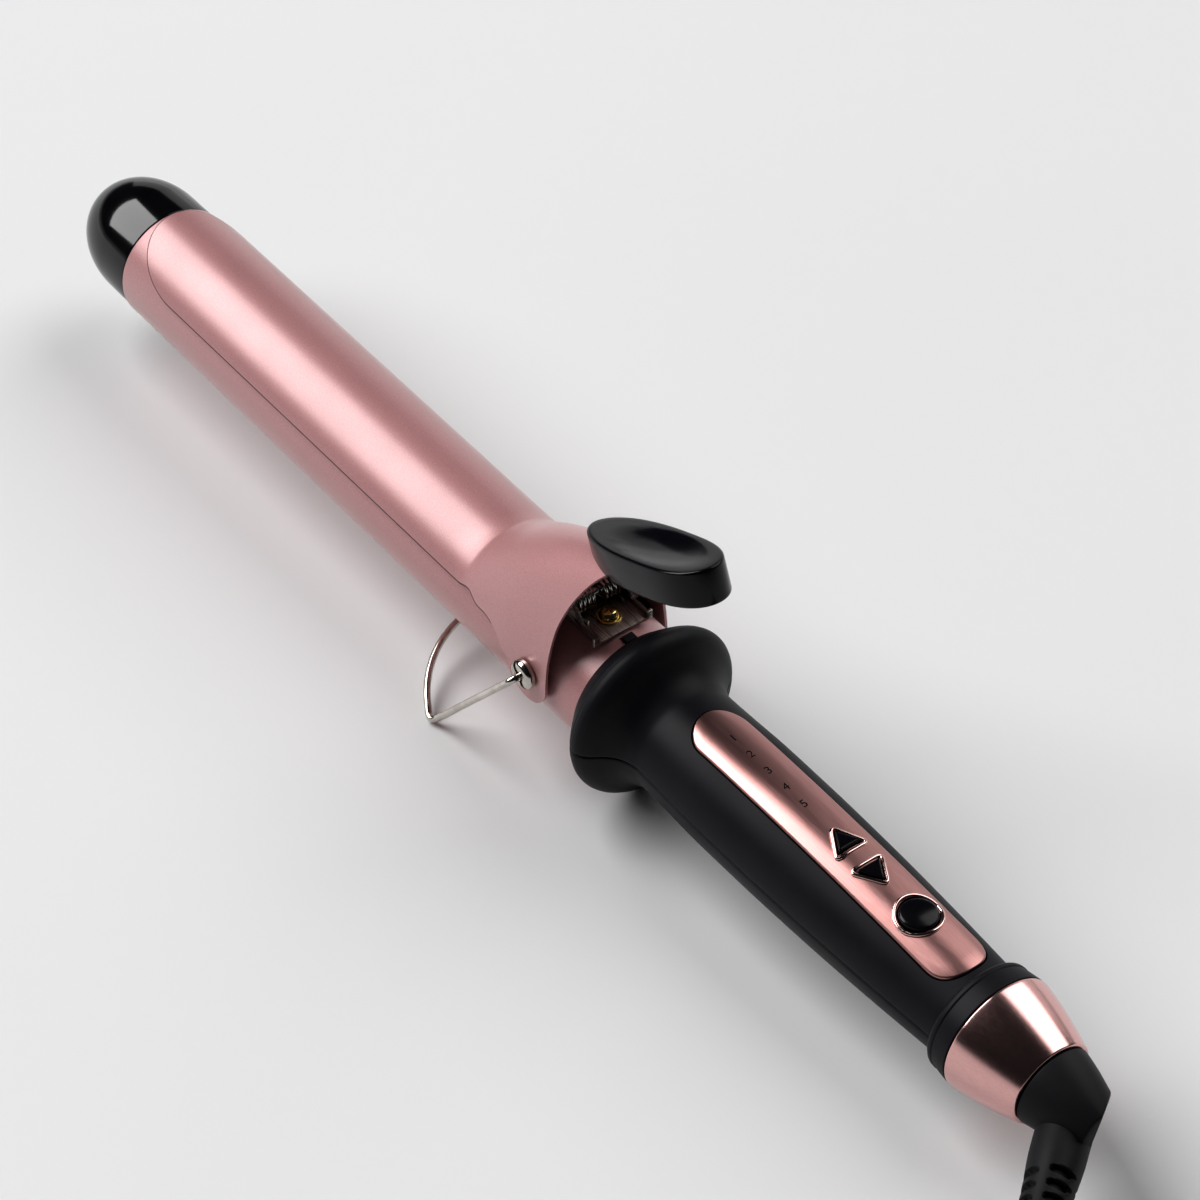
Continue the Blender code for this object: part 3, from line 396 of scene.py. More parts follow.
def pillow(outline, top, bottom, round_top, round_bottom, centre, place=Vector):
    """A closed solid over a plan outline. top and bottom give heights; both edges are rounded."""
    def ring(points, height):
        return [place((a, b, height(a, b))) for a, b in points]

    def shrunk(points, share):
        return [(centre[0] + (a - centre[0]) * share, centre[1] + (b - centre[1]) * share)
                for a, b in points]

    shares = (0.06, 0.16, 0.28, 0.4, 0.52, 0.64, 0.75, 0.85, 0.93)
    upper = inset(outline, round_top)
    lower = inset(outline, round_bottom)
    rings = [ring(shrunk(upper, share), top) for share in shares]
    upper_steps = 5
    for k in range(upper_steps + 1):
        angle = math.pi / 2 * k / upper_steps
        drop = round_top * (1 - math.cos(angle))
        edge = inset(outline, round_top * (1 - math.sin(angle)))
        rings.append(ring(edge, lambda a, b: top(a, b) - drop))
    lower_steps = 4
    for k in range(lower_steps + 1):
        angle = math.pi / 2 * k / lower_steps
        lift = round_bottom * (1 - math.sin(angle))
        edge = inset(outline, round_bottom * (1 - math.cos(angle)))
        rings.append(ring(edge, lambda a, b: bottom(a, b) + lift))
    rings += [ring(shrunk(lower, share), bottom) for share in reversed(shares)]
    return lofted([ring([centre], top), *rings, ring([centre], bottom)], capped=False)


# Materials, each kept in FINISH under its own name

FINISH = {}

# The record's slot for each finish that the record doesn't have; the dark rose of the clamp's edge line is painted
# shadow
SLOT_OF = {"rose_satin": "rose_metal", "rose_bright": "rose_metal", "scale_ink": "rose_metal",
           "black_satin": "black_gloss", "painted_shadow_rose": "rose_paint"}


def new_material(name, colour, roughness, metallic=0.0, coat=0.0, coat_roughness=0.05, specular=0.5):
    """Makes a material and returns its node tree and its shader."""
    made = bpy.data.materials.new(name)
    FINISH[name] = made
    made.use_nodes = True
    shader = made.node_tree.nodes["Principled BSDF"]
    values = {"Base Color": (*colour, 1.0), "Roughness": roughness, "Metallic": metallic,
              "Coat Weight": coat, "Coat Roughness": coat_roughness, "Specular IOR Level": specular}
    for socket, value in values.items():
        shader.inputs[socket].default_value = value
    made.diffuse_color = (*colour, 1.0)
    return made.node_tree, shader


def noise(tree, scale, detail=3.0, stretch=(1.0, 1.0, 1.0)):
    """A noise texture on the object's own coordinates; its scale is in cycles a metre."""
    coordinates = tree.nodes.new("ShaderNodeTexCoord")
    mapping = tree.nodes.new("ShaderNodeMapping")
    mapping.inputs["Scale"].default_value = stretch
    texture = tree.nodes.new("ShaderNodeTexNoise")
    texture.inputs["Scale"].default_value = scale
    texture.inputs["Detail"].default_value = detail
    tree.links.new(coordinates.outputs["Object"], mapping.inputs["Vector"])
    tree.links.new(mapping.outputs["Vector"], texture.inputs["Vector"])
    return texture.outputs["Fac"]


def blend_colours(tree, source, target, stops):
    """Feeds a colour socket from a value, by two stops of (value, colour)."""
    ramp = tree.nodes.new("ShaderNodeValToRGB")
    for element, (value, colour) in zip(ramp.color_ramp.elements, stops):
        element.position = value
        element.color = (*colour, 1.0)
    tree.links.new(source, ramp.inputs["Fac"])
    tree.links.new(ramp.outputs["Color"], target)


def vary_colour(tree, shader, source, dark, light, low=0.35, high=0.65):
    blend_colours(tree, source, shader.inputs["Base Color"], ((low, dark), (high, light)))


def vary_roughness(tree, shader, source, low, high):
    spread = tree.nodes.new("ShaderNodeMapRange")
    for socket, value in (("From Min", 0.3), ("From Max", 0.7), ("To Min", low), ("To Max", high)):
        spread.inputs[socket].default_value = value
    tree.links.new(source, spread.inputs["Value"])
    tree.links.new(spread.outputs["Result"], shader.inputs["Roughness"])


def bump(tree, shader, source, strength, distance):
    node = tree.nodes.new("ShaderNodeBump")
    node.inputs["Strength"].default_value = strength
    node.inputs["Distance"].default_value = distance
    tree.links.new(source, node.inputs["Height"])
    tree.links.new(node.outputs["Normal"], shader.inputs["Normal"])


def rose_paint():
    """Satin rose enamel with a fine metal flake, under a clear coat."""
    tree, shader = new_material("rose_paint", (0.5, 0.24, 0.24), 0.48, 0.3, 1.0, 0.3)
    flake = noise(tree, 5200, 2.0)
    vary_colour(tree, shader, flake, (0.43, 0.205, 0.207), (0.56, 0.28, 0.283))
    vary_roughness(tree, shader, noise(tree, 60, 3.0), 0.45, 0.51)
    bump(tree, shader, flake, 0.08, 0.00002)


def brushed(name, dark, light, rough_low, rough_high, across, strength=0.12):
    """Metal with fine lines along the iron; across is the lines' spacing scale."""
    tree, shader = new_material(name, light, rough_low, 1.0)
    lines = noise(tree, across, 4.0, (0.02, 1.0, 1.0))
    vary_colour(tree, shader, lines, dark, light, 0.3, 0.7)
    vary_roughness(tree, shader, lines, rough_low, rough_high)
    bump(tree, shader, lines, strength, 0.00002)


def moulded(name, dark, light, rough_low, rough_high, grain, strength, coat=0.0, specular=0.5):
    """Plastic or rubber: a fine grain, and a slow change of gloss from handling."""
    tree, shader = new_material(name, light, rough_low, 0.0, coat, 0.04, specular)
    vary_colour(tree, shader, noise(tree, 90, 4.0), dark, light)
    vary_roughness(tree, shader, noise(tree, 45, 3.0), rough_low, rough_high)
    bump(tree, shader, noise(tree, grain, 3.0), strength, 0.00003)


def plated(name, dark, light, rough_low, rough_high):
    """Plated steel: faint cloudy change of colour and gloss."""
    tree, shader = new_material(name, light, rough_low, 1.0)
    cloud = noise(tree, 260, 4.0)
    vary_colour(tree, shader, cloud, dark, light)
    vary_roughness(tree, shader, cloud, rough_low, rough_high)
    bump(tree, shader, noise(tree, 2400, 2.0), 0.05, 0.00001)


def make_materials():
    """Every slot of the record, and the few finishes that the fine pieces add."""
    rose_paint()
    brushed("rose_metal", (0.72, 0.43, 0.41), (0.8, 0.5, 0.48), 0.19, 0.22, 3200, 0.03)
    brushed("rose_satin", (0.44, 0.235, 0.22), (0.51, 0.285, 0.27), 0.29, 0.33, 3200, 0.03)
    plated("rose_bright", (0.8, 0.52, 0.48), (0.9, 0.62, 0.58), 0.08, 0.14)
    moulded("black_gloss", (0.002, 0.002, 0.003), (0.004, 0.004, 0.005), 0.1, 0.15, 700, 0.02, 0.1, 0.4)
    moulded("black_satin", (0.002, 0.002, 0.004), (0.004, 0.004, 0.006), 0.15, 0.2, 700, 0.02, 0.0, 0.25)
    moulded("black_grip", (0.003, 0.003, 0.006), (0.006, 0.006, 0.009), 0.46, 0.54, 5200, 0.12, 0.0, 0.2)
    moulded("black_rubber", (0.004, 0.004, 0.006), (0.008, 0.008, 0.01), 0.46, 0.58, 3600, 0.2, 0.0, 0.25)
    plated("nickel", (0.5, 0.47, 0.43), (0.68, 0.65, 0.6), 0.12, 0.2)
    brushed("steel_plate", (0.24, 0.22, 0.2), (0.42, 0.39, 0.35), 0.24, 0.36, 2400)
    plated("yellow_zinc", (0.62, 0.42, 0.1), (0.86, 0.72, 0.32), 0.12, 0.24)
    brushed("aluminium", (0.62, 0.62, 0.63), (0.8, 0.8, 0.81), 0.3, 0.42, 1800)
    plated("brass", (0.66, 0.45, 0.18), (0.84, 0.64, 0.32), 0.16, 0.28)
    moulded("ceramic", (0.72, 0.69, 0.62), (0.86, 0.83, 0.76), 0.5, 0.65, 1500, 0.2)
    moulded("board_green", (0.015, 0.11, 0.045), (0.03, 0.2, 0.08), 0.35, 0.5, 900, 0.1)
    moulded("led_lens", (0.65, 0.16, 0.11), (0.85, 0.26, 0.18), 0.18, 0.3, 500, 0.05)
    moulded("scale_ink", (0.006, 0.003, 0.003), (0.01, 0.006, 0.006), 0.5, 0.6, 900, 0.05, 0.0, 0.1)
    # Painted shadow: dark rose for the wire that stands in for the shade under the clamp blade's edge
    moulded("painted_shadow_rose", (0.09, 0.035, 0.037), (0.13, 0.05, 0.052), 0.5, 0.6, 900, 0.05)


# Cord: lead, hank and tail are one length

def pinch(x):
    """How far the tie draws the runs together at a place along the hank."""
    t = (x - HANK_NEAR) / (HANK_FAR - HANK_NEAR)
    return HANK_PINCH * math.sin(math.pi * t) ** 2


def relief_end():
    """The free end of the strain relief, in the floor's frame, mm, and its heading."""
    tip = IRON @ (RELIEF_ROOT + RELIEF_DIR * RELIEF_LENGTH)
    return FLOOR.inverted() @ tip, (TURN @ RELIEF_DIR).normalized()


def lead_knots():
    """From inside the strain relief down to the floor and round to the hank's first run."""
    start, heading = relief_end()
    run_y = HANK_Y - 33.42
    return [start - heading * 4.0, start + heading * 6.0, (381.3, -48.3, 9.6), (388.0, -50.8, 6.7),
            (395.5, run_y, 4.4), (404.0, run_y, 3.1)]


def tail_knots():
    """From the hank's last run back along its middle to the plug."""
    return [(509.5, 18.5, 3.05), (503.5, 19.1, 4.4), (498.5, 19.5, 5.8), (491.5, PLUG_Y, PLUG_Z)]


# The hank's runs in order, mm: how far off its middle line, and how high
RUNS = ((-33.4, 3.05), (30.4, 3.05), (-27.4, 3.05), (24.4, 3.05), (-21.4, 3.05), (18.4, 3.05),
        (-24.4, 8.25), (27.4, 8.25), (-30.4, 8.25), (36.5, 3.05))


def hank_route():
    """Nine runs joined by half turns: six on the floor, and three in their valleys."""
    points = []
    straight_steps = 12
    turn_steps = 14
    for number, ((offset, height), (following, rise)) in enumerate(zip(RUNS, RUNS[1:])):
        outward = number % 2 == 0
        for k in range(straight_steps + 1):
            t = k / straight_steps if outward else 1 - k / straight_steps
            x = HANK_NEAR + (HANK_FAR - HANK_NEAR) * t
            drawn = offset - math.copysign(pinch(x), offset)
            points.append((x, HANK_Y + drawn, height))
        end_x = HANK_FAR if outward else HANK_NEAR
        for k in range(1, turn_steps):
            t = k / turn_steps
            late = blend(0.5, 1.0, t) if rise < height else blend(0.0, 0.45, t)
            radius = abs(offset) + (abs(following) - abs(offset)) * blend(0, 0.9, t)
            angle = math.pi * t
            hump = 0.7 * math.sin(angle) if max(height, rise) > 6 else 0.0
            points.append((end_x + math.copysign(radius * math.sin(angle), end_x - TIE_X),
                           HANK_Y + math.copysign(radius, offset) * math.cos(angle),
                           height + (rise - height) * late + hump))
    points.append((HANK_FAR - 0.6, HANK_Y + RUNS[-1][0], RUNS[-1][1]))
    return points


def make_cord():
    route = smooth_route(lead_knots() + hank_route() + tail_knots(), 2.6)
    return add_wire("cord", route, CORD_R, "black_rubber", "swivel", "power_cord", "cord_hank", "cord_tail",
                    place=FLOOR, resolution=5)


# The clamp: blade, hood and lugs are one pressed sheet

def sheet_point(x, w, offset):
    """A point of the clamp: w runs 0 at the crest, 1 at the side, then straight down."""
    high = follow(CREST, x) + offset
    wide = follow(FLANK, x) + offset
    if w <= 1.0:
        angle = w * math.pi / 2
        return Vector((x, wide * math.sin(angle), high * math.cos(angle)))
    return Vector((x, wide, -(w - 1.0) * high * math.pi / 2))


def sheet_w(x, z):
    """The w at which the clamp has height z."""
    high = follow(CREST, x)
    if z >= 0:
        return math.acos(min(1.0, z / high)) / (math.pi / 2)
    return 1.0 - z / (high * math.pi / 2)


def clamp_outline():
    """Stations of the lower edge, as (x, w), and of the crest, as x, from nose to rear."""
    edge = []
    curve_steps = 32
    for k in range(1, curve_steps + 1):
        quarter = math.pi / 2 * k / curve_steps
        edge.append((BLADE_FRONT + BLADE_NOSE * (1 - math.cos(quarter)), BLADE_W * math.sin(quarter)))
    nose_end = BLADE_FRONT + BLADE_NOSE
    edge += [(nose_end + (HOOD_FRONT - nose_end) * k / 30, BLADE_W) for k in range(1, 31)]
    crest = [x for x, _ in edge]
    flank = [(x, follow(CREST, x) * math.cos(BLADE_W * math.pi / 2)) for x in (HOOD_FRONT, 151.0)]
    flank += [(155.0, 7.6), (159.0, 7.8), (162.0, 7.2), (164.8, 5.8), (166.8, 3.6)]
    lug = arc((PIVOT.x, PIVOT.z), LUG_R, 188, 346, curve_steps)
    flank.append(lug[0])
    tail = [(p.x, p.y) for p in smooth_route([(x, z, 0) for x, z in flank], 0.8)[1:]]
    for k, (x, z) in enumerate(lug[1:], 1):
        squeeze = 1.0 - 0.08 * blend(262, 290, 188 + (346 - 188) * k / curve_steps)
        tail.append((PIVOT.x + (x - PIVOT.x) * squeeze, z))
    for k, (x, z) in enumerate(tail, 1):
        edge.append((x, sheet_w(x, z)))
        crest.append(HOOD_FRONT + (HOOD_END - HOOD_FRONT) * k / len(tail))
    return edge, crest


def clamp_grids(columns=36):
    """The sheet's outer and inner faces, as rows of points from the left edge to the right."""
    edge, crest = clamp_outline()
    grids = ([], [])
    for (edge_x, edge_w), crest_x in zip(edge, crest):
        pull = blend(165.0, HOOD_END, crest_x)
        undercut = LIP * blend(0.2, 0.6, edge_w) * (1 - blend(HOOD_FRONT, 160.0, edge_x))
        for grid, offset, short in zip(grids, (SHEET / 2, -SHEET / 2), (0.0, undercut)):
            side = []
            for j in range(columns + 1):
                v = j / columns
                w = edge_w * v
                straight = crest_x + (edge_x - crest_x) * v
                rear = follow(REAR_EDGE, w) + (edge[-1][0] - follow(REAR_EDGE, edge[-1][1])) * v
                last = crest[-1] + (edge[-1][0] - crest[-1]) * v
                side.append(sheet_point(straight + pull * (rear - last), w - short * v, offset))
            grid.append(mirrored(side[1:]) + side)
    return grids


def clamp_blade():
    outer, inner = clamp_grids()
    shape = bmesh.new()
    upper = [[shape.verts.new(p) for p in row] for row in outer]
    lower = [[shape.verts.new(p) for p in row] for row in inner]
    rows = len(upper)
    cols = len(upper[0])
    for i in range(rows - 1):
        for j in range(cols - 1):
            shape.faces.new((upper[i][j], upper[i][j + 1], upper[i + 1][j + 1], upper[i + 1][j]))
            shape.faces.new((lower[i][j], lower[i + 1][j], lower[i + 1][j + 1], lower[i][j + 1]))
    rim = [(i, 0) for i in range(rows)] + [(rows - 1, j) for j in range(1, cols)]
    rim += [(i, cols - 1) for i in range(rows - 2, -1, -1)] + [(0, j) for j in range(cols - 2, 0, -1)]
    for (i, j), (m, n) in zip(rim, rim[1:] + rim[:1]):
        shape.faces.new((upper[i][j], upper[m][n], lower[m][n], lower[i][j]))
    holes = [rod((PIVOT.x, side * 14.0, PIVOT.z), (PIVOT.x, side * 21.0, PIVOT.z), 2.3) for side in (1, -1)]
    add("clamp", shape, "rose_paint", "clamp", "clamp_blade", cuts=holes, sharp=38)


def clamp_shadow_line():
    """A thin dark wire along the blade's lower edge, from the hood round the nose and back: painted shadow of the
    narrow gap under the sheet's edge.
    """
    edge, _ = clamp_outline()
    side = [sheet_point(x, w + 0.004, 0.0) for x, w in edge if x < 162.0 and w > 0.02]
    add_wire("clamp_shadow_wire", mirrored(side) + side, 0.36, "painted_shadow_rose", "clamp", resolution=2)


def hood_top(x, y):
    """Height of the hood's outer face above a point, or nothing where there is no hood."""
    wide = follow(FLANK, x) + SHEET / 2
    if abs(y) >= wide:
        return None
    w = math.asin(abs(y) / wide) / (math.pi / 2)
    if x > follow(REAR_EDGE, w) + 3.2:
        return None
    return (follow(CREST, x) + SHEET / 2) * math.sqrt(1 - (y / wide) ** 2)


def lever_outline():
    """The lever's plan: an oval, blunter at the rear."""
    side = []
    steps = 80
    for k in range(steps + 1):
        s = LEVER_LENGTH * (1 - math.cos(math.pi * k / steps)) / 2
        front = max(0.0, 1 - s / 26.0) ** 2.4
        rear = max(0.0, 1 - (LEVER_LENGTH - s) / 20.0) ** 3.2
        side.append((s, LEVER_HALF * math.sqrt((1 - front) * (1 - rear))))
    return side + [(s, -half) for s, half in reversed(side[1:-1])]


def lever_dish(s, y):
    """Depth of the thumb's oval hollow under the lever's top, negative."""
    away = ((s - 26.5) / 15.0) ** 2 + (y / 6.2) ** 2
    return -1.15 * max(0.0, 1 - away)


def lever_foot(s, y):
    """Height of the lever's underside, in the lever's own slope: it stops just over the hood."""
    crown = LEVER_NOSE + LEVER_ALONG * s + Vector((0, y, 0))
    depth = LEVER_DEPTH * (0.62 + 0.38 * blend(0, 16, s))
    for _ in range(6):
        foot = crown - LEVER_UP * depth
        hood = hood_top(foot.x, y)
        if hood is None or foot.z >= hood:
            break
        depth -= (hood + 0.1 - foot.z) * math.cos(LEVER_SLOPE)
    return -max(depth, 2.2)


def thumb_lever():
    def place(point):
        s, y, height = point
        return LEVER_NOSE + LEVER_ALONG * s + Vector((0, y, 0)) + LEVER_UP * height

    shape = pillow(lever_outline(), lever_dish, lever_foot, 0.7, 0.9, (26.0, 0.0), place)
    add("lever", shape, "black_satin", "clamp", "thumb_lever", sharp=60)
    screw = turned_solid(((-2.9, 0, 0), (-2.9, 1.9, 0.3), (-1.2, 2.3, 0.4), (-1.2, 1.15, 0), (4.4, 1.15, 0),
                          (4.4, 0, 0)), 48)
    slot = block((-4, -0.35, -3), (-2.3, 0.35, 3))
    root = Matrix.Translation((LEVER_SCREW_X, 0, follow(CREST, LEVER_SCREW_X))) @ aligned(LEVER_UP)
    for shape in (screw, slot):
        shape.transform(root)
    add("lever_fastener", screw, "nickel", "clamp", "lever_screw", cuts=[slot])


# Barrel, tip and the hardware under the hood

def barrel():
    wall = rounded(((0, BARREL_BORE, 0.3), (0, BARREL_R, 0.4), (BARREL_END, BARREL_R, 0.3),
                    (BARREL_END, BARREL_BORE, 0.3)))
    notch = block((190.6, -1.8, 12), (BARREL_END + 2, 1.8, 20))
    add("barrel", turned(wall, 160), "rose_paint", "body", "barrel_tube", cuts=[notch])
    bush = rounded(((181.5, 8.5, 0.3), (181.5, 14.2, 0.3), (203.3, 14.2, 0), (203.3, 15.8, 0.3),
                    (205.3, 15.8, 0.3), (205.3, 8.5, 0.3)))
    key = block((191.2, -1.4, 11), (193.3, 1.4, 16.8))
    add("bush", turned(bush, 96), "black_rubber", "body", "barrel_bush", unions=[key])


def tip():
    steps = 40
    dome = [(-CAP_STRAIGHT - CAP_DOME * math.cos(math.pi / 2 * k / steps),
             CAP_R * math.sin(math.pi / 2 * k / steps), 0) for k in range(steps + 1)]
    rim = [(-0.3, CAP_R, 0.35), (-0.3, 14.3, 0), (9.0, 14.3, 0.4), (9.0, 0, 0)]
    add("tip", turned_solid(dome + rim, 160), "black_gloss", "body", "tip_cap")


def bracket():
    """A folded plate: each side has an ear for the spring's pin and a turned-up rear corner."""
    half = 7.6
    low = BRACKET_TOP - BRACKET_SHEET
    outline = [(175.5, low), (BRACKET_REAR, low), (BRACKET_REAR, 18.6), (184.0, 18.6), (181.6, 21.6)]
    outline += arc((SPRING_AXIS.x, SPRING_AXIS.z), 2.9, 30, 180, 20)
    channel = block((170, BRACKET_SHEET - half, BRACKET_TOP), (195, half - BRACKET_SHEET, 30))
    across = Vector((0, 10, 0))
    eye = rod(SPRING_AXIS - across, SPRING_AXIS + across, 1.5)
    corners = [block((BRACKET_REAR - BRACKET_SHEET, side * 7.2 - 1.2, low - 0.2),
                     (BRACKET_REAR, side * 7.2 + 1.2, 18.7)) for side in (1, -1)]
    add("bracket", prism(outline, -half, half, "Y"), "steel_plate", "body", "spring_bracket",
        cuts=[channel, eye], unions=corners, bevel=0.12)
    pin = rod(SPRING_AXIS - across * 0.86, SPRING_AXIS + across * 0.86, 1.3)
    add("pin", pin, "nickel", "body", "spring_pin", bevel=0.2)


def bracket_screw():
    """A cross-recess screw through the bracket, and its washer."""
    screw = turned_solid(((0, 0, 0), (0, 1.2, 0.2), (6.9, 1.2, 0), (6.9, 2.4, 0.25), (7.7, 2.3, 0.5),
                          (8.8, 1.5, 0.6), (9.0, 0, 0)), 64)
    top = BRACKET_TOP + 2.4
    cross = [block((BRACKET_SCREW_X - a, -b, top - 1.0), (BRACKET_SCREW_X + a, b, top + 2))
             for a, b in ((0.3, 1.35), (1.35, 0.3))]
    add("plate_screw", stood(screw, BRACKET_SCREW_X, top - 9.0), "yellow_zinc", "body", "bracket_screw",
        cuts=cross)
    washer = turned(rounded(((0, 1.4, 0.1), (0, 3.0, 0.15), (0.5, 3.0, 0.15), (0.5, 1.4, 0.1))), 64)
    add("plate_washer", stood(washer, BRACKET_SCREW_X, BRACKET_TOP + 0.02), "yellow_zinc", "body")


def spring():
    """One wire: a foot, a coil group, a bridge up to the hood, the other coil group, a foot."""
    turns = 3.75
    per_turn = 24
    side = []
    for k in range(int(turns * per_turn) + 1):
        angle = math.radians(-90) + 2 * math.pi * k / per_turn
        side.append((SPRING_AXIS.x + SPRING_R * math.cos(angle), 5.95 - 1.25 * k / per_turn,
                     SPRING_AXIS.z + SPRING_R * math.sin(angle)))
    level = BRACKET_TOP + SPRING_WIRE + 0.05
    foot = [(183.6, 5.2, level), (182.2, 5.7, level), (180.4, 5.95, level)]
    reach = SPRING_AXIS.x - 7.0
    hood = follow(CREST, reach) - SHEET / 2 - SPRING_WIRE - 1.5
    bridge = [(reach + 1.4, 1.0, hood - 3.4), (reach + 0.6, 0.9, hood - 1.6), (reach, 0.5, hood)]
    half = [Vector(point) for point in foot + side + bridge]
    add_wire("spring", half + mirrored(half), SPRING_WIRE, "nickel", "body", "clamp_spring", resolution=4)


def pivot_screws():
    """Slotted, with a hole in each head for the stand's wire."""
    face = LUG_Y + SHEET / 2 + 0.05
    for name, side in (("left", -1), ("right", 1)):
        screw = turned_solid(((9.2, 0, 0), (9.2, 1.9, 0), (face, 1.9, 0), (face, 3.75, 0.3),
                              (face + 1.4, 3.75, 0.5), (face + 2.3, 2.9, 0.7), (face + 2.3, 1.25, 0.3),
                              (face + 0.4, 1.25, 0), (face + 0.4, 0, 0)), 64)
        outward = Matrix.Translation(PIVOT) @ aligned((0, side, 0))
        screw.transform(outward)
        slot = block((face + 1.3, -0.55, -6), (face + 4, 0.55, 6))
        slot.transform(outward @ Matrix.Rotation(math.radians(38), 4, "X"))
        add("hinge_screw_" + name, screw, "nickel", "body", "pivot_screw_" + name, cuts=[slot])


def stand():
    """From one screw's hole to a foot, along the arc that stops against the barrel, and back."""
    foot_z = (STAND_WIRE_R + 0.03 - FLOOR_DROP + STAND_FOOT.x * math.sin(TILT)) / math.cos(TILT)
    foot = Vector((*STAND_FOOT, foot_z))
    stop_z = -(BARREL_R + 0.3 + STAND_WIRE_R)
    rise = (stop_z - foot.z) / (STAND_ARC_R - STAND_ARC_BACK)
    run = math.sqrt(1 - rise ** 2)
    side = [Vector((PIVOT.x, 18.8, PIVOT.z)), Vector((PIVOT.x, 21.4, PIVOT.z)),
            Vector((PIVOT.x - 0.4, 22.3, PIVOT.z - 0.5))]
    leg_top = Vector((PIVOT.x - 1.4, 23.0, PIVOT.z - 1.8))
    side += [leg_top, leg_top.lerp(foot, 0.3), leg_top.lerp(foot, 0.6), leg_top.lerp(foot, 0.92)]
    steps = 12
    for k in range(steps + 1):
        angle = math.radians(68.0 * (1 - k / steps))
        along = STAND_ARC_R * math.cos(angle) - STAND_ARC_BACK
        across = STAND_ARC_R * math.sin(angle)
        side.append(Vector((foot.x - along * run, across, foot.z + along * rise)))
    route = smooth_route(side + mirrored(side[:-1]), 0.7)
    add_wire("stand", route, STAND_WIRE_R, "nickel", "stand", "stand_wire")


# Handle

def handle_profile():
    """(x, r, outer) points of a shell's section; the rim band ends in a fine step."""
    groove_x = 199.7
    stations = [194.0 + 0.3 * k for k in range(41)]
    stations += [206.6 + 0.8 * k for k in range(14)]
    stations += [HANDLE_END - (HANDLE_END - 220.0) * (1 - k / 26) for k in range(27)]
    outer = [(x, follow(HANDLE, x) - 0.22 * math.exp(-((x - groove_x) / 0.28) ** 2), True) for x in stations]
    inner = ((HANDLE_END, 10.8), (317.3, 10.8), (317.3, 8.8), (304.0, 9.4), (270.0, 11.1), (230.0, 11.4),
             (214.0, 11.0), (208.6, 12.4), (205.9, 14.0), (205.6, 16.35), (194.0, 16.35))
    return outer + [(x, r, False) for x, r in inner]


def half_shell(side, segments=76):
    """Half of the handle on one side of z = 0, its outer edge rounded along the parting line."""
    gap = 0.15
    rings = []
    for x, r, outer in handle_profile():
        ring = []
        angles = [math.asin((gap + step) / r) for step in (0, 0.1, 0.3, 0.7)]
        uniform = [angles[-1] + (math.pi - 2 * angles[-1]) * k / segments for k in range(1, segments)]
        sweep = angles + uniform + [math.pi - a for a in reversed(angles)]
        for k, angle in enumerate(sweep):
            near = min(k, len(sweep) - 1 - k)
            dip = (0.32, 0.14, 0.03)[near] if outer and near < 3 else 0.0
            height = gap if near == 0 else (r - dip) * math.sin(angle)
            ring.append((x, (r - dip) * math.cos(angle), side * height))
        rings.append(ring)
    return lofted(list(zip(*rings)))


def capsule(grow):
    """The panel's plan outline: a round front and a squarer rear."""
    half = PANEL_HALF + grow
    front = PANEL_FRONT + half
    rear = PANEL_REAR + grow - half
    along = [(rear - front) * k / 11 + 3.0 for k in range(11)]
    points = arc((front - grow, 0), half, 90, 270, 40)
    points += [(front + x, -half) for x in along]
    for k in range(41):
        a, b = squarish(math.radians(-90 + 180 * k / 40), 2 / 2.4)
        points.append((rear + half * a, half * b))
    return points + [(rear - x, half) for x in along]


def on_grip(raised):
    """A function for the height of the grip's surface, raised, over a plan point."""
    return lambda x, y: math.sqrt((follow(HANDLE, x) + raised) ** 2 - y ** 2)


def triangle(centre_x, direction, size, corner):
    """A rounded triangle in plan whose point leads along X in the direction given."""
    tip_at = (centre_x + direction * size, 0, corner)
    base_x = centre_x - direction * size * 0.72
    return rounded((tip_at, (base_x, size * 1.02, corner), (base_x, -size * 1.02, corner)), steps=8)


def button_plans(size, corner, round_size):
    return {"up_button": triangle(UP_X, -1, size, corner),
            "down_button": triangle(DOWN_X, 1, size, corner),
            "power_button": arc((POWER_X, 0), round_size, 0, 360 * 71 / 72, 71)}


def handle():
    middle = ((PANEL_FRONT + PANEL_REAR) / 2, 0.0)
    recess = pillow(capsule(0.35), on_grip(8.0), on_grip(-2.2), 0.1, 0.1, middle)
    add("grip_upper", half_shell(1), "black_grip", "body", "handle_upper", cuts=[recess], sharp=40)
    screw_well = rod((217.0, 0, -9.0), (217.0, 0, -20), 3.0)
    add("grip_lower", half_shell(-1), "black_grip", "body", "handle_lower", cuts=[screw_well], sharp=40)
    plate = pillow(capsule(0.0), on_grip(PANEL_LIFT), on_grip(-1.9), 0.4, 0.15, middle)
    holes = [prism(plan, 7.0, 20.0) for plan in button_plans(3.48, 0.7, 4.8).values()]
    add("panel", plate, "rose_satin", "body", "control_panel", cuts=holes, sharp=50)
    for name, plan in button_plans(4.5, 1.7, 5.35).items():
        surface = on_grip(PANEL_LIFT + 0.12)
        loop = [Vector((x, y, surface(x, y))) for x, y in plan]
        add_wire(name + "_rim", loop, 0.5, "rose_bright", "body", cyclic=True)


def buttons():
    for name, plan in button_plans(3.05, 0.45, 4.5).items():
        centre = (sum(p[0] for p in plan) / len(plan), 0.0)
        seat = follow(HANDLE, centre[0])
        crown, dome, edge = (0.95, 0.55, 0.55) if name == "power_button" else (0.75, 0.0, 0.4)

        def top(x, y):
            return seat + crown + PANEL_LIFT - dome * (math.hypot(x - centre[0], y) / 4.5) ** 2

        def bottom(x, y):
            return seat - 1.2

        cap = pillow(plan, top, bottom, edge, 0.1, centre)
        add(name + "_cap", cap, "black_satin", name, name, sharp=60)


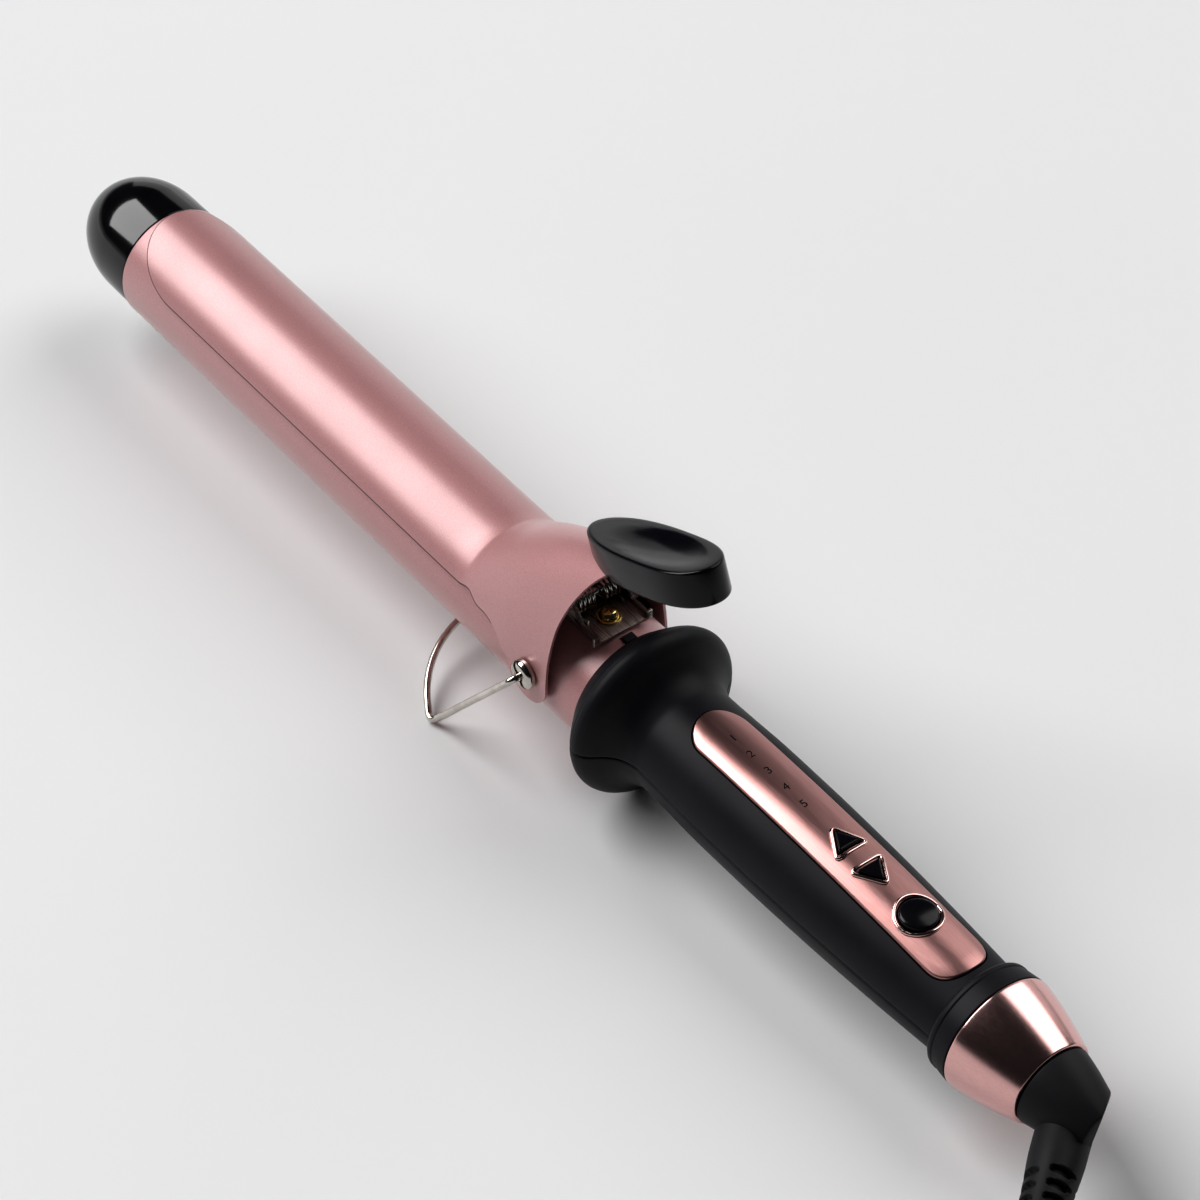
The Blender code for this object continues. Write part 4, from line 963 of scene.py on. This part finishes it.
def scale_digits():
    """Five plain numerals across the panel, a hair above its metal."""
    for number in range(5):
        letter = bpy.data.curves.new("digit", "FONT")
        letter.body = str(number + 1)
        letter.align_x = "CENTER"
        letter.align_y = "CENTER"
        letter.size = 3.1
        letter.extrude = 0.02
        text = in_scene("digit", letter)
        bpy.context.view_layer.update()
        mesh = bpy.data.meshes.new_from_object(text)
        bpy.data.objects.remove(text)
        x = SCALE_FIRST_X + SCALE_STEP * number
        shape = bmesh.new()
        shape.from_mesh(mesh)
        for vertex in shape.verts:
            across, upward, lift = vertex.co
            surface = on_grip(PANEL_LIFT + 0.03 + lift)
            vertex.co = (x - upward, across, surface(x - upward, across))
        add("scale_digit_" + str(number + 1), shape, "scale_ink", "body")


# Rear end

def rear():
    ring = rounded(((313.0, 11.1, 0.1), (313.0, 13.7, 0.25), (313.7, 14.25, 0.3), (314.6, 14.35, 0.15),
                    (314.9, 14.15, 0.1), (315.3, 14.25, 0.1), (319.4, 14.8, 0.3), (319.4, 12.7, 0),
                    (317.6, 12.7, 0), (317.6, 11.1, 0)))
    add("ring", turned(ring, 160), "black_grip", "body", "rear_ring")
    steps = 24
    skin = [(CAP_RIM_X + (CAP_TAIL_X - CAP_RIM_X) * k / steps,
             CAP_RIM_R + (CAP_TAIL_R - CAP_RIM_R) * (k / steps) ** 1.35, 0) for k in range(1, steps)]
    section = [(318.0, 11.3, 0), (318.0, 12.4, 0), (CAP_RIM_X, 12.4, 0), (CAP_RIM_X, CAP_RIM_R, 0.3)] + skin
    section += [(CAP_TAIL_X, CAP_TAIL_R, 0.45), (CAP_TAIL_X, 8.2, 0.3), (CAP_TAIL_X - 1.6, 7.3, 0),
                (331.0, 9.9, 0), (323.0, 12.0, 0)]
    add("cap", turned(rounded(section), 160), "rose_metal", "body", "rear_cap")


def swivel():
    """Turned, with a groove for its snap ring, and cut flat along the strain relief."""
    section = ((318.5, 0, 0), (318.5, 3.2, 0.3), (328, 3.2, 0), (328, 6.9, 0.2), (330.9, 6.9, 0.2),
               (330.9, 6.0, 0), (333.1, 6.0, 0), (333.1, 6.9, 0.2), (CAP_TAIL_X + 0.1, 6.9, 0),
               (CAP_TAIL_X + 0.3, 10.1, 0.4), (341.5, 9.2, 2.0), (352.5, 5.9, 0), (352.5, 0, 0))
    slant = Vector((0.85, 0.51, -0.14)).normalized()
    wedge = block((0, -30, -30), (30, 30, 30))
    wedge.transform(Matrix.Translation(RELIEF_ROOT + slant * 6.0) @ aligned(slant))
    add("swivel_elbow", turned_solid(section, 128), "black_rubber", "swivel", "cord_swivel", cuts=[wedge],
        bevel=0.5, sharp=40, slot="black_grip")


def relief_radius(s):
    """Radius of the strain relief at a distance from its root."""
    return follow(((-6.0, 6.05), (0.0, 6.1), (5.3, 6.1), (16.0, 5.45), (31.0, 4.9), (42.0, 4.3)), s)


def relief_slot(s, angle):
    """1 in the middle of a slot and 0 on a rib: four columns of slots around the sleeve."""
    quarter = math.pi / 2
    column = round((angle - quarter / 2) / quarter)
    away = (angle - quarter / 2 - column * quarter) / math.radians(33)
    first = 12.6 if column % 2 == 0 else 13.5
    pitch = 3.4
    row = round((s - first) / pitch)
    if row < 0 or row > 7:
        return 0.0
    lengthwise = (s - first - row * pitch) / 0.98
    reach = abs(away) ** 4 + abs(lengthwise) ** 2.6
    return 1 - blend(0.75, 1.15, reach)


def strain_relief():
    """A slotted sleeve; its sections stand closer along the slots."""
    rings = []
    segments = 144
    spin = math.radians(20)
    reach = [-6.0 + 0.75 * k for k in range(22)] + [10.6 + 0.2 * k for k in range(152)]
    reach += [41.2, 41.6, 41.85, 42.0]
    for s in reach:
        trim = 0.35 * blend(41.3, 42.0, s)
        ring = []
        for k in range(segments):
            angle = 2 * math.pi * k / segments
            r = relief_radius(s) - 1.35 * relief_slot(s, angle) - trim
            ring.append(Vector((s, r * math.cos(angle + spin), r * math.sin(angle + spin))))
        rings.append(ring)
    shape = lofted(rings)
    shape.transform(Matrix.Translation(RELIEF_ROOT) @ aligned(RELIEF_DIR))
    return add("relief_sleeve", shape, "black_rubber", "swivel", "strain_relief", sharp=60)


# Pieces on the loose cord

def tie():
    """A strap round the hank's waist."""
    low = HANK_Y - 27.9
    high = HANK_Y + 24.5
    half_width = 6
    half_sheet = 0.55
    path = rounded(((low, 0.7, 2.4), (high, 0.7, 2.4), (high, 12.55, 3.0), (low, 12.55, 3.0)), steps=8)
    corners = ((-half_width, half_sheet), (half_width, half_sheet), (half_width, -half_sheet),
               (-half_width, -half_sheet))
    loops = [[(TIE_X + x, y, z) for y, z in inset(path, depth)] for x, depth in corners]
    return add("strap", lofted(loops + loops[:1], capped=False), "black_grip", "swivel", "hank_tie",
               bevel=0.2, place=FLOOR)


def plug_grip():
    """The moulded body, from the cord's end to the blades' face."""
    sections = ((493.7, 3.7, 3.7), (492.9, 4.0, 4.0), (486.0, 4.4, 4.4), (482.0, 4.7, 4.7), (480.6, 6.4, 5.0),
                (478.5, 8.6, 5.5), (474.0, 10.2, 5.8), (466.0, 9.6, 5.35), (458.0, 10.4, 5.8),
                (454.2, 10.2, 5.7), (453.0, 9.4, 5.0))
    segments = 64
    rings = []
    for x, half_y, half_z in sections:
        power = 0.62 if half_y > half_z else 1.0
        outline = [squarish(2 * math.pi * k / segments, power) for k in range(segments)]
        rings.append([Vector((x, PLUG_Y + half_y * a, PLUG_Z + half_z * b)) for a, b in outline])
    return add("plug_grip", lofted(rings), "black_rubber", "swivel", "plug_body", bevel=0.3, sharp=45,
               place=FLOOR)


def plug_blade(number, side):
    """A flat blade with a hole near its end; side is which one of the pair."""
    middle = PLUG_Y + side * 6.35
    half_sheet = 0.72
    outline = rounded(((436.0, 2.8, 1.4), (454.0, 2.8, 0), (454.0, 9.1, 0), (436.0, 9.1, 1.4)))
    hole = rod((439.5, middle - 2, PLUG_Z), (439.5, middle + 2, PLUG_Z), 1.5)
    return add("plug_blade_" + number, prism(outline, middle - half_sheet, middle + half_sheet, "Y"), "brass",
               "swivel", "plug_pin_" + number, cuts=[hole], bevel=0.15, place=FLOOR)


# Camera, light and floor

def camera():
    """The eye's place and axes are in the iron's frame."""
    data = bpy.data.cameras.new("camera")
    data.lens = 112.35
    data.sensor_width = 36.0
    data.clip_start = 0.01
    data.dof.use_dof = False
    eye = in_scene("camera", data)
    right = Vector((0.60946806, 0.79266986, 0.01493893))
    upward = Vector((-0.56206697, 0.41871955, 0.7132704))
    back = right.cross(upward)
    axes = Matrix((right, upward, back)).transposed()
    eye.matrix_world = Matrix.Translation(IRON @ Vector((661.2, -380.5, 621.4))) @ (TURN @ axes).to_4x4()
    bpy.context.scene.camera = eye


def softbox(name, direction, long_side, distance, length, width, radiance):
    """A rectangular light facing the iron, as bright as it has to look from there."""
    data = bpy.data.lights.new(name, "AREA")
    data.shape = "RECTANGLE"
    data.size = length
    data.size_y = width
    data.energy = radiance * math.pi * length * width
    lamp = in_scene(name, data)
    away = Vector(direction).normalized()
    across = Vector(long_side)
    across = (across - away * across.dot(away)).normalized()
    axes = Matrix((across, away.cross(across), away)).transposed().to_4x4()
    lamp.matrix_world = Matrix.Translation(away * distance) @ axes


def sky():
    """Pale below and at the horizon, and nearly black above it."""
    world = bpy.data.worlds.new("studio")
    world.use_nodes = True
    tree = world.node_tree
    heading = tree.nodes.new("ShaderNodeTexCoord")
    parts = tree.nodes.new("ShaderNodeSeparateXYZ")
    tree.links.new(heading.outputs["Generated"], parts.inputs["Vector"])
    blend_colours(tree, parts.outputs["Z"], tree.nodes["Background"].inputs["Color"],
                  ((0.02, (0.5, 0.51, 0.52)), (0.11, (0.011, 0.011, 0.012))))
    bpy.context.scene.world = world


def table_top():
    tree, shader = new_material("table_top", (0.84, 0.84, 0.845), 0.6)
    vary_colour(tree, shader, noise(tree, 2.5, 2.0), (0.83, 0.83, 0.835), (0.845, 0.845, 0.85))
    shape = bmesh.new()
    for x, y in ((-1, -1), (1, -1), (1, 1), (-1, 1)):
        shape.verts.new((x * FLOOR_HALF, y * FLOOR_HALF, -FLOOR_GAP))
    shape.faces.new(list(shape.verts))
    mesh = bpy.data.meshes.new("table_top")
    shape.to_mesh(mesh)
    shape.free()
    mesh.materials.append(FINISH["table_top"])
    in_scene("table_top", mesh)


def studio():
    """The three lamps, the sky, the table and the view's tone."""
    softbox("key", (-0.63, -0.36, 0.69), (0, -0.87, -0.5), 8.0, 7.4, 4.0, 7.8)
    softbox("fill", (0.02, 0.70, 0.71), (1, 0, 0), 8.0, 5.9, 6.4, 2.5)
    softbox("wall", (-0.56, 0.80, 0.24), (1, 0, 0), 8.5, 10.6, 3.6, 0.7)
    sky()
    table_top()
    view = bpy.context.scene.view_settings
    view.view_transform = "Standard"
    view.gamma = 0.85


def refinish_cad():
    """The CAD nodes that stay, mostly hidden inside, take the fine material of their slot."""
    slots = {part["node"]: part["material_slot"] for part in frame["record"]["subparts"]}
    for name, node in frame["nodes"].items():
        node.data.materials.clear()
        node.data.materials.append(FINISH[slots[name]])


def build():
    camera()
    make_materials()
    lead = make_cord()
    refinish_cad()
    barrel()
    tip()
    bracket()
    bracket_screw()
    spring()
    pivot_screws()
    clamp_blade()
    clamp_shadow_line()
    thumb_lever()
    stand()
    handle()
    buttons()
    scale_digits()
    rear()
    swivel()
    on_cord = [strain_relief(), tie(), plug_grip(), plug_blade("1", -1), plug_blade("2", 1)]
    studio()


build()
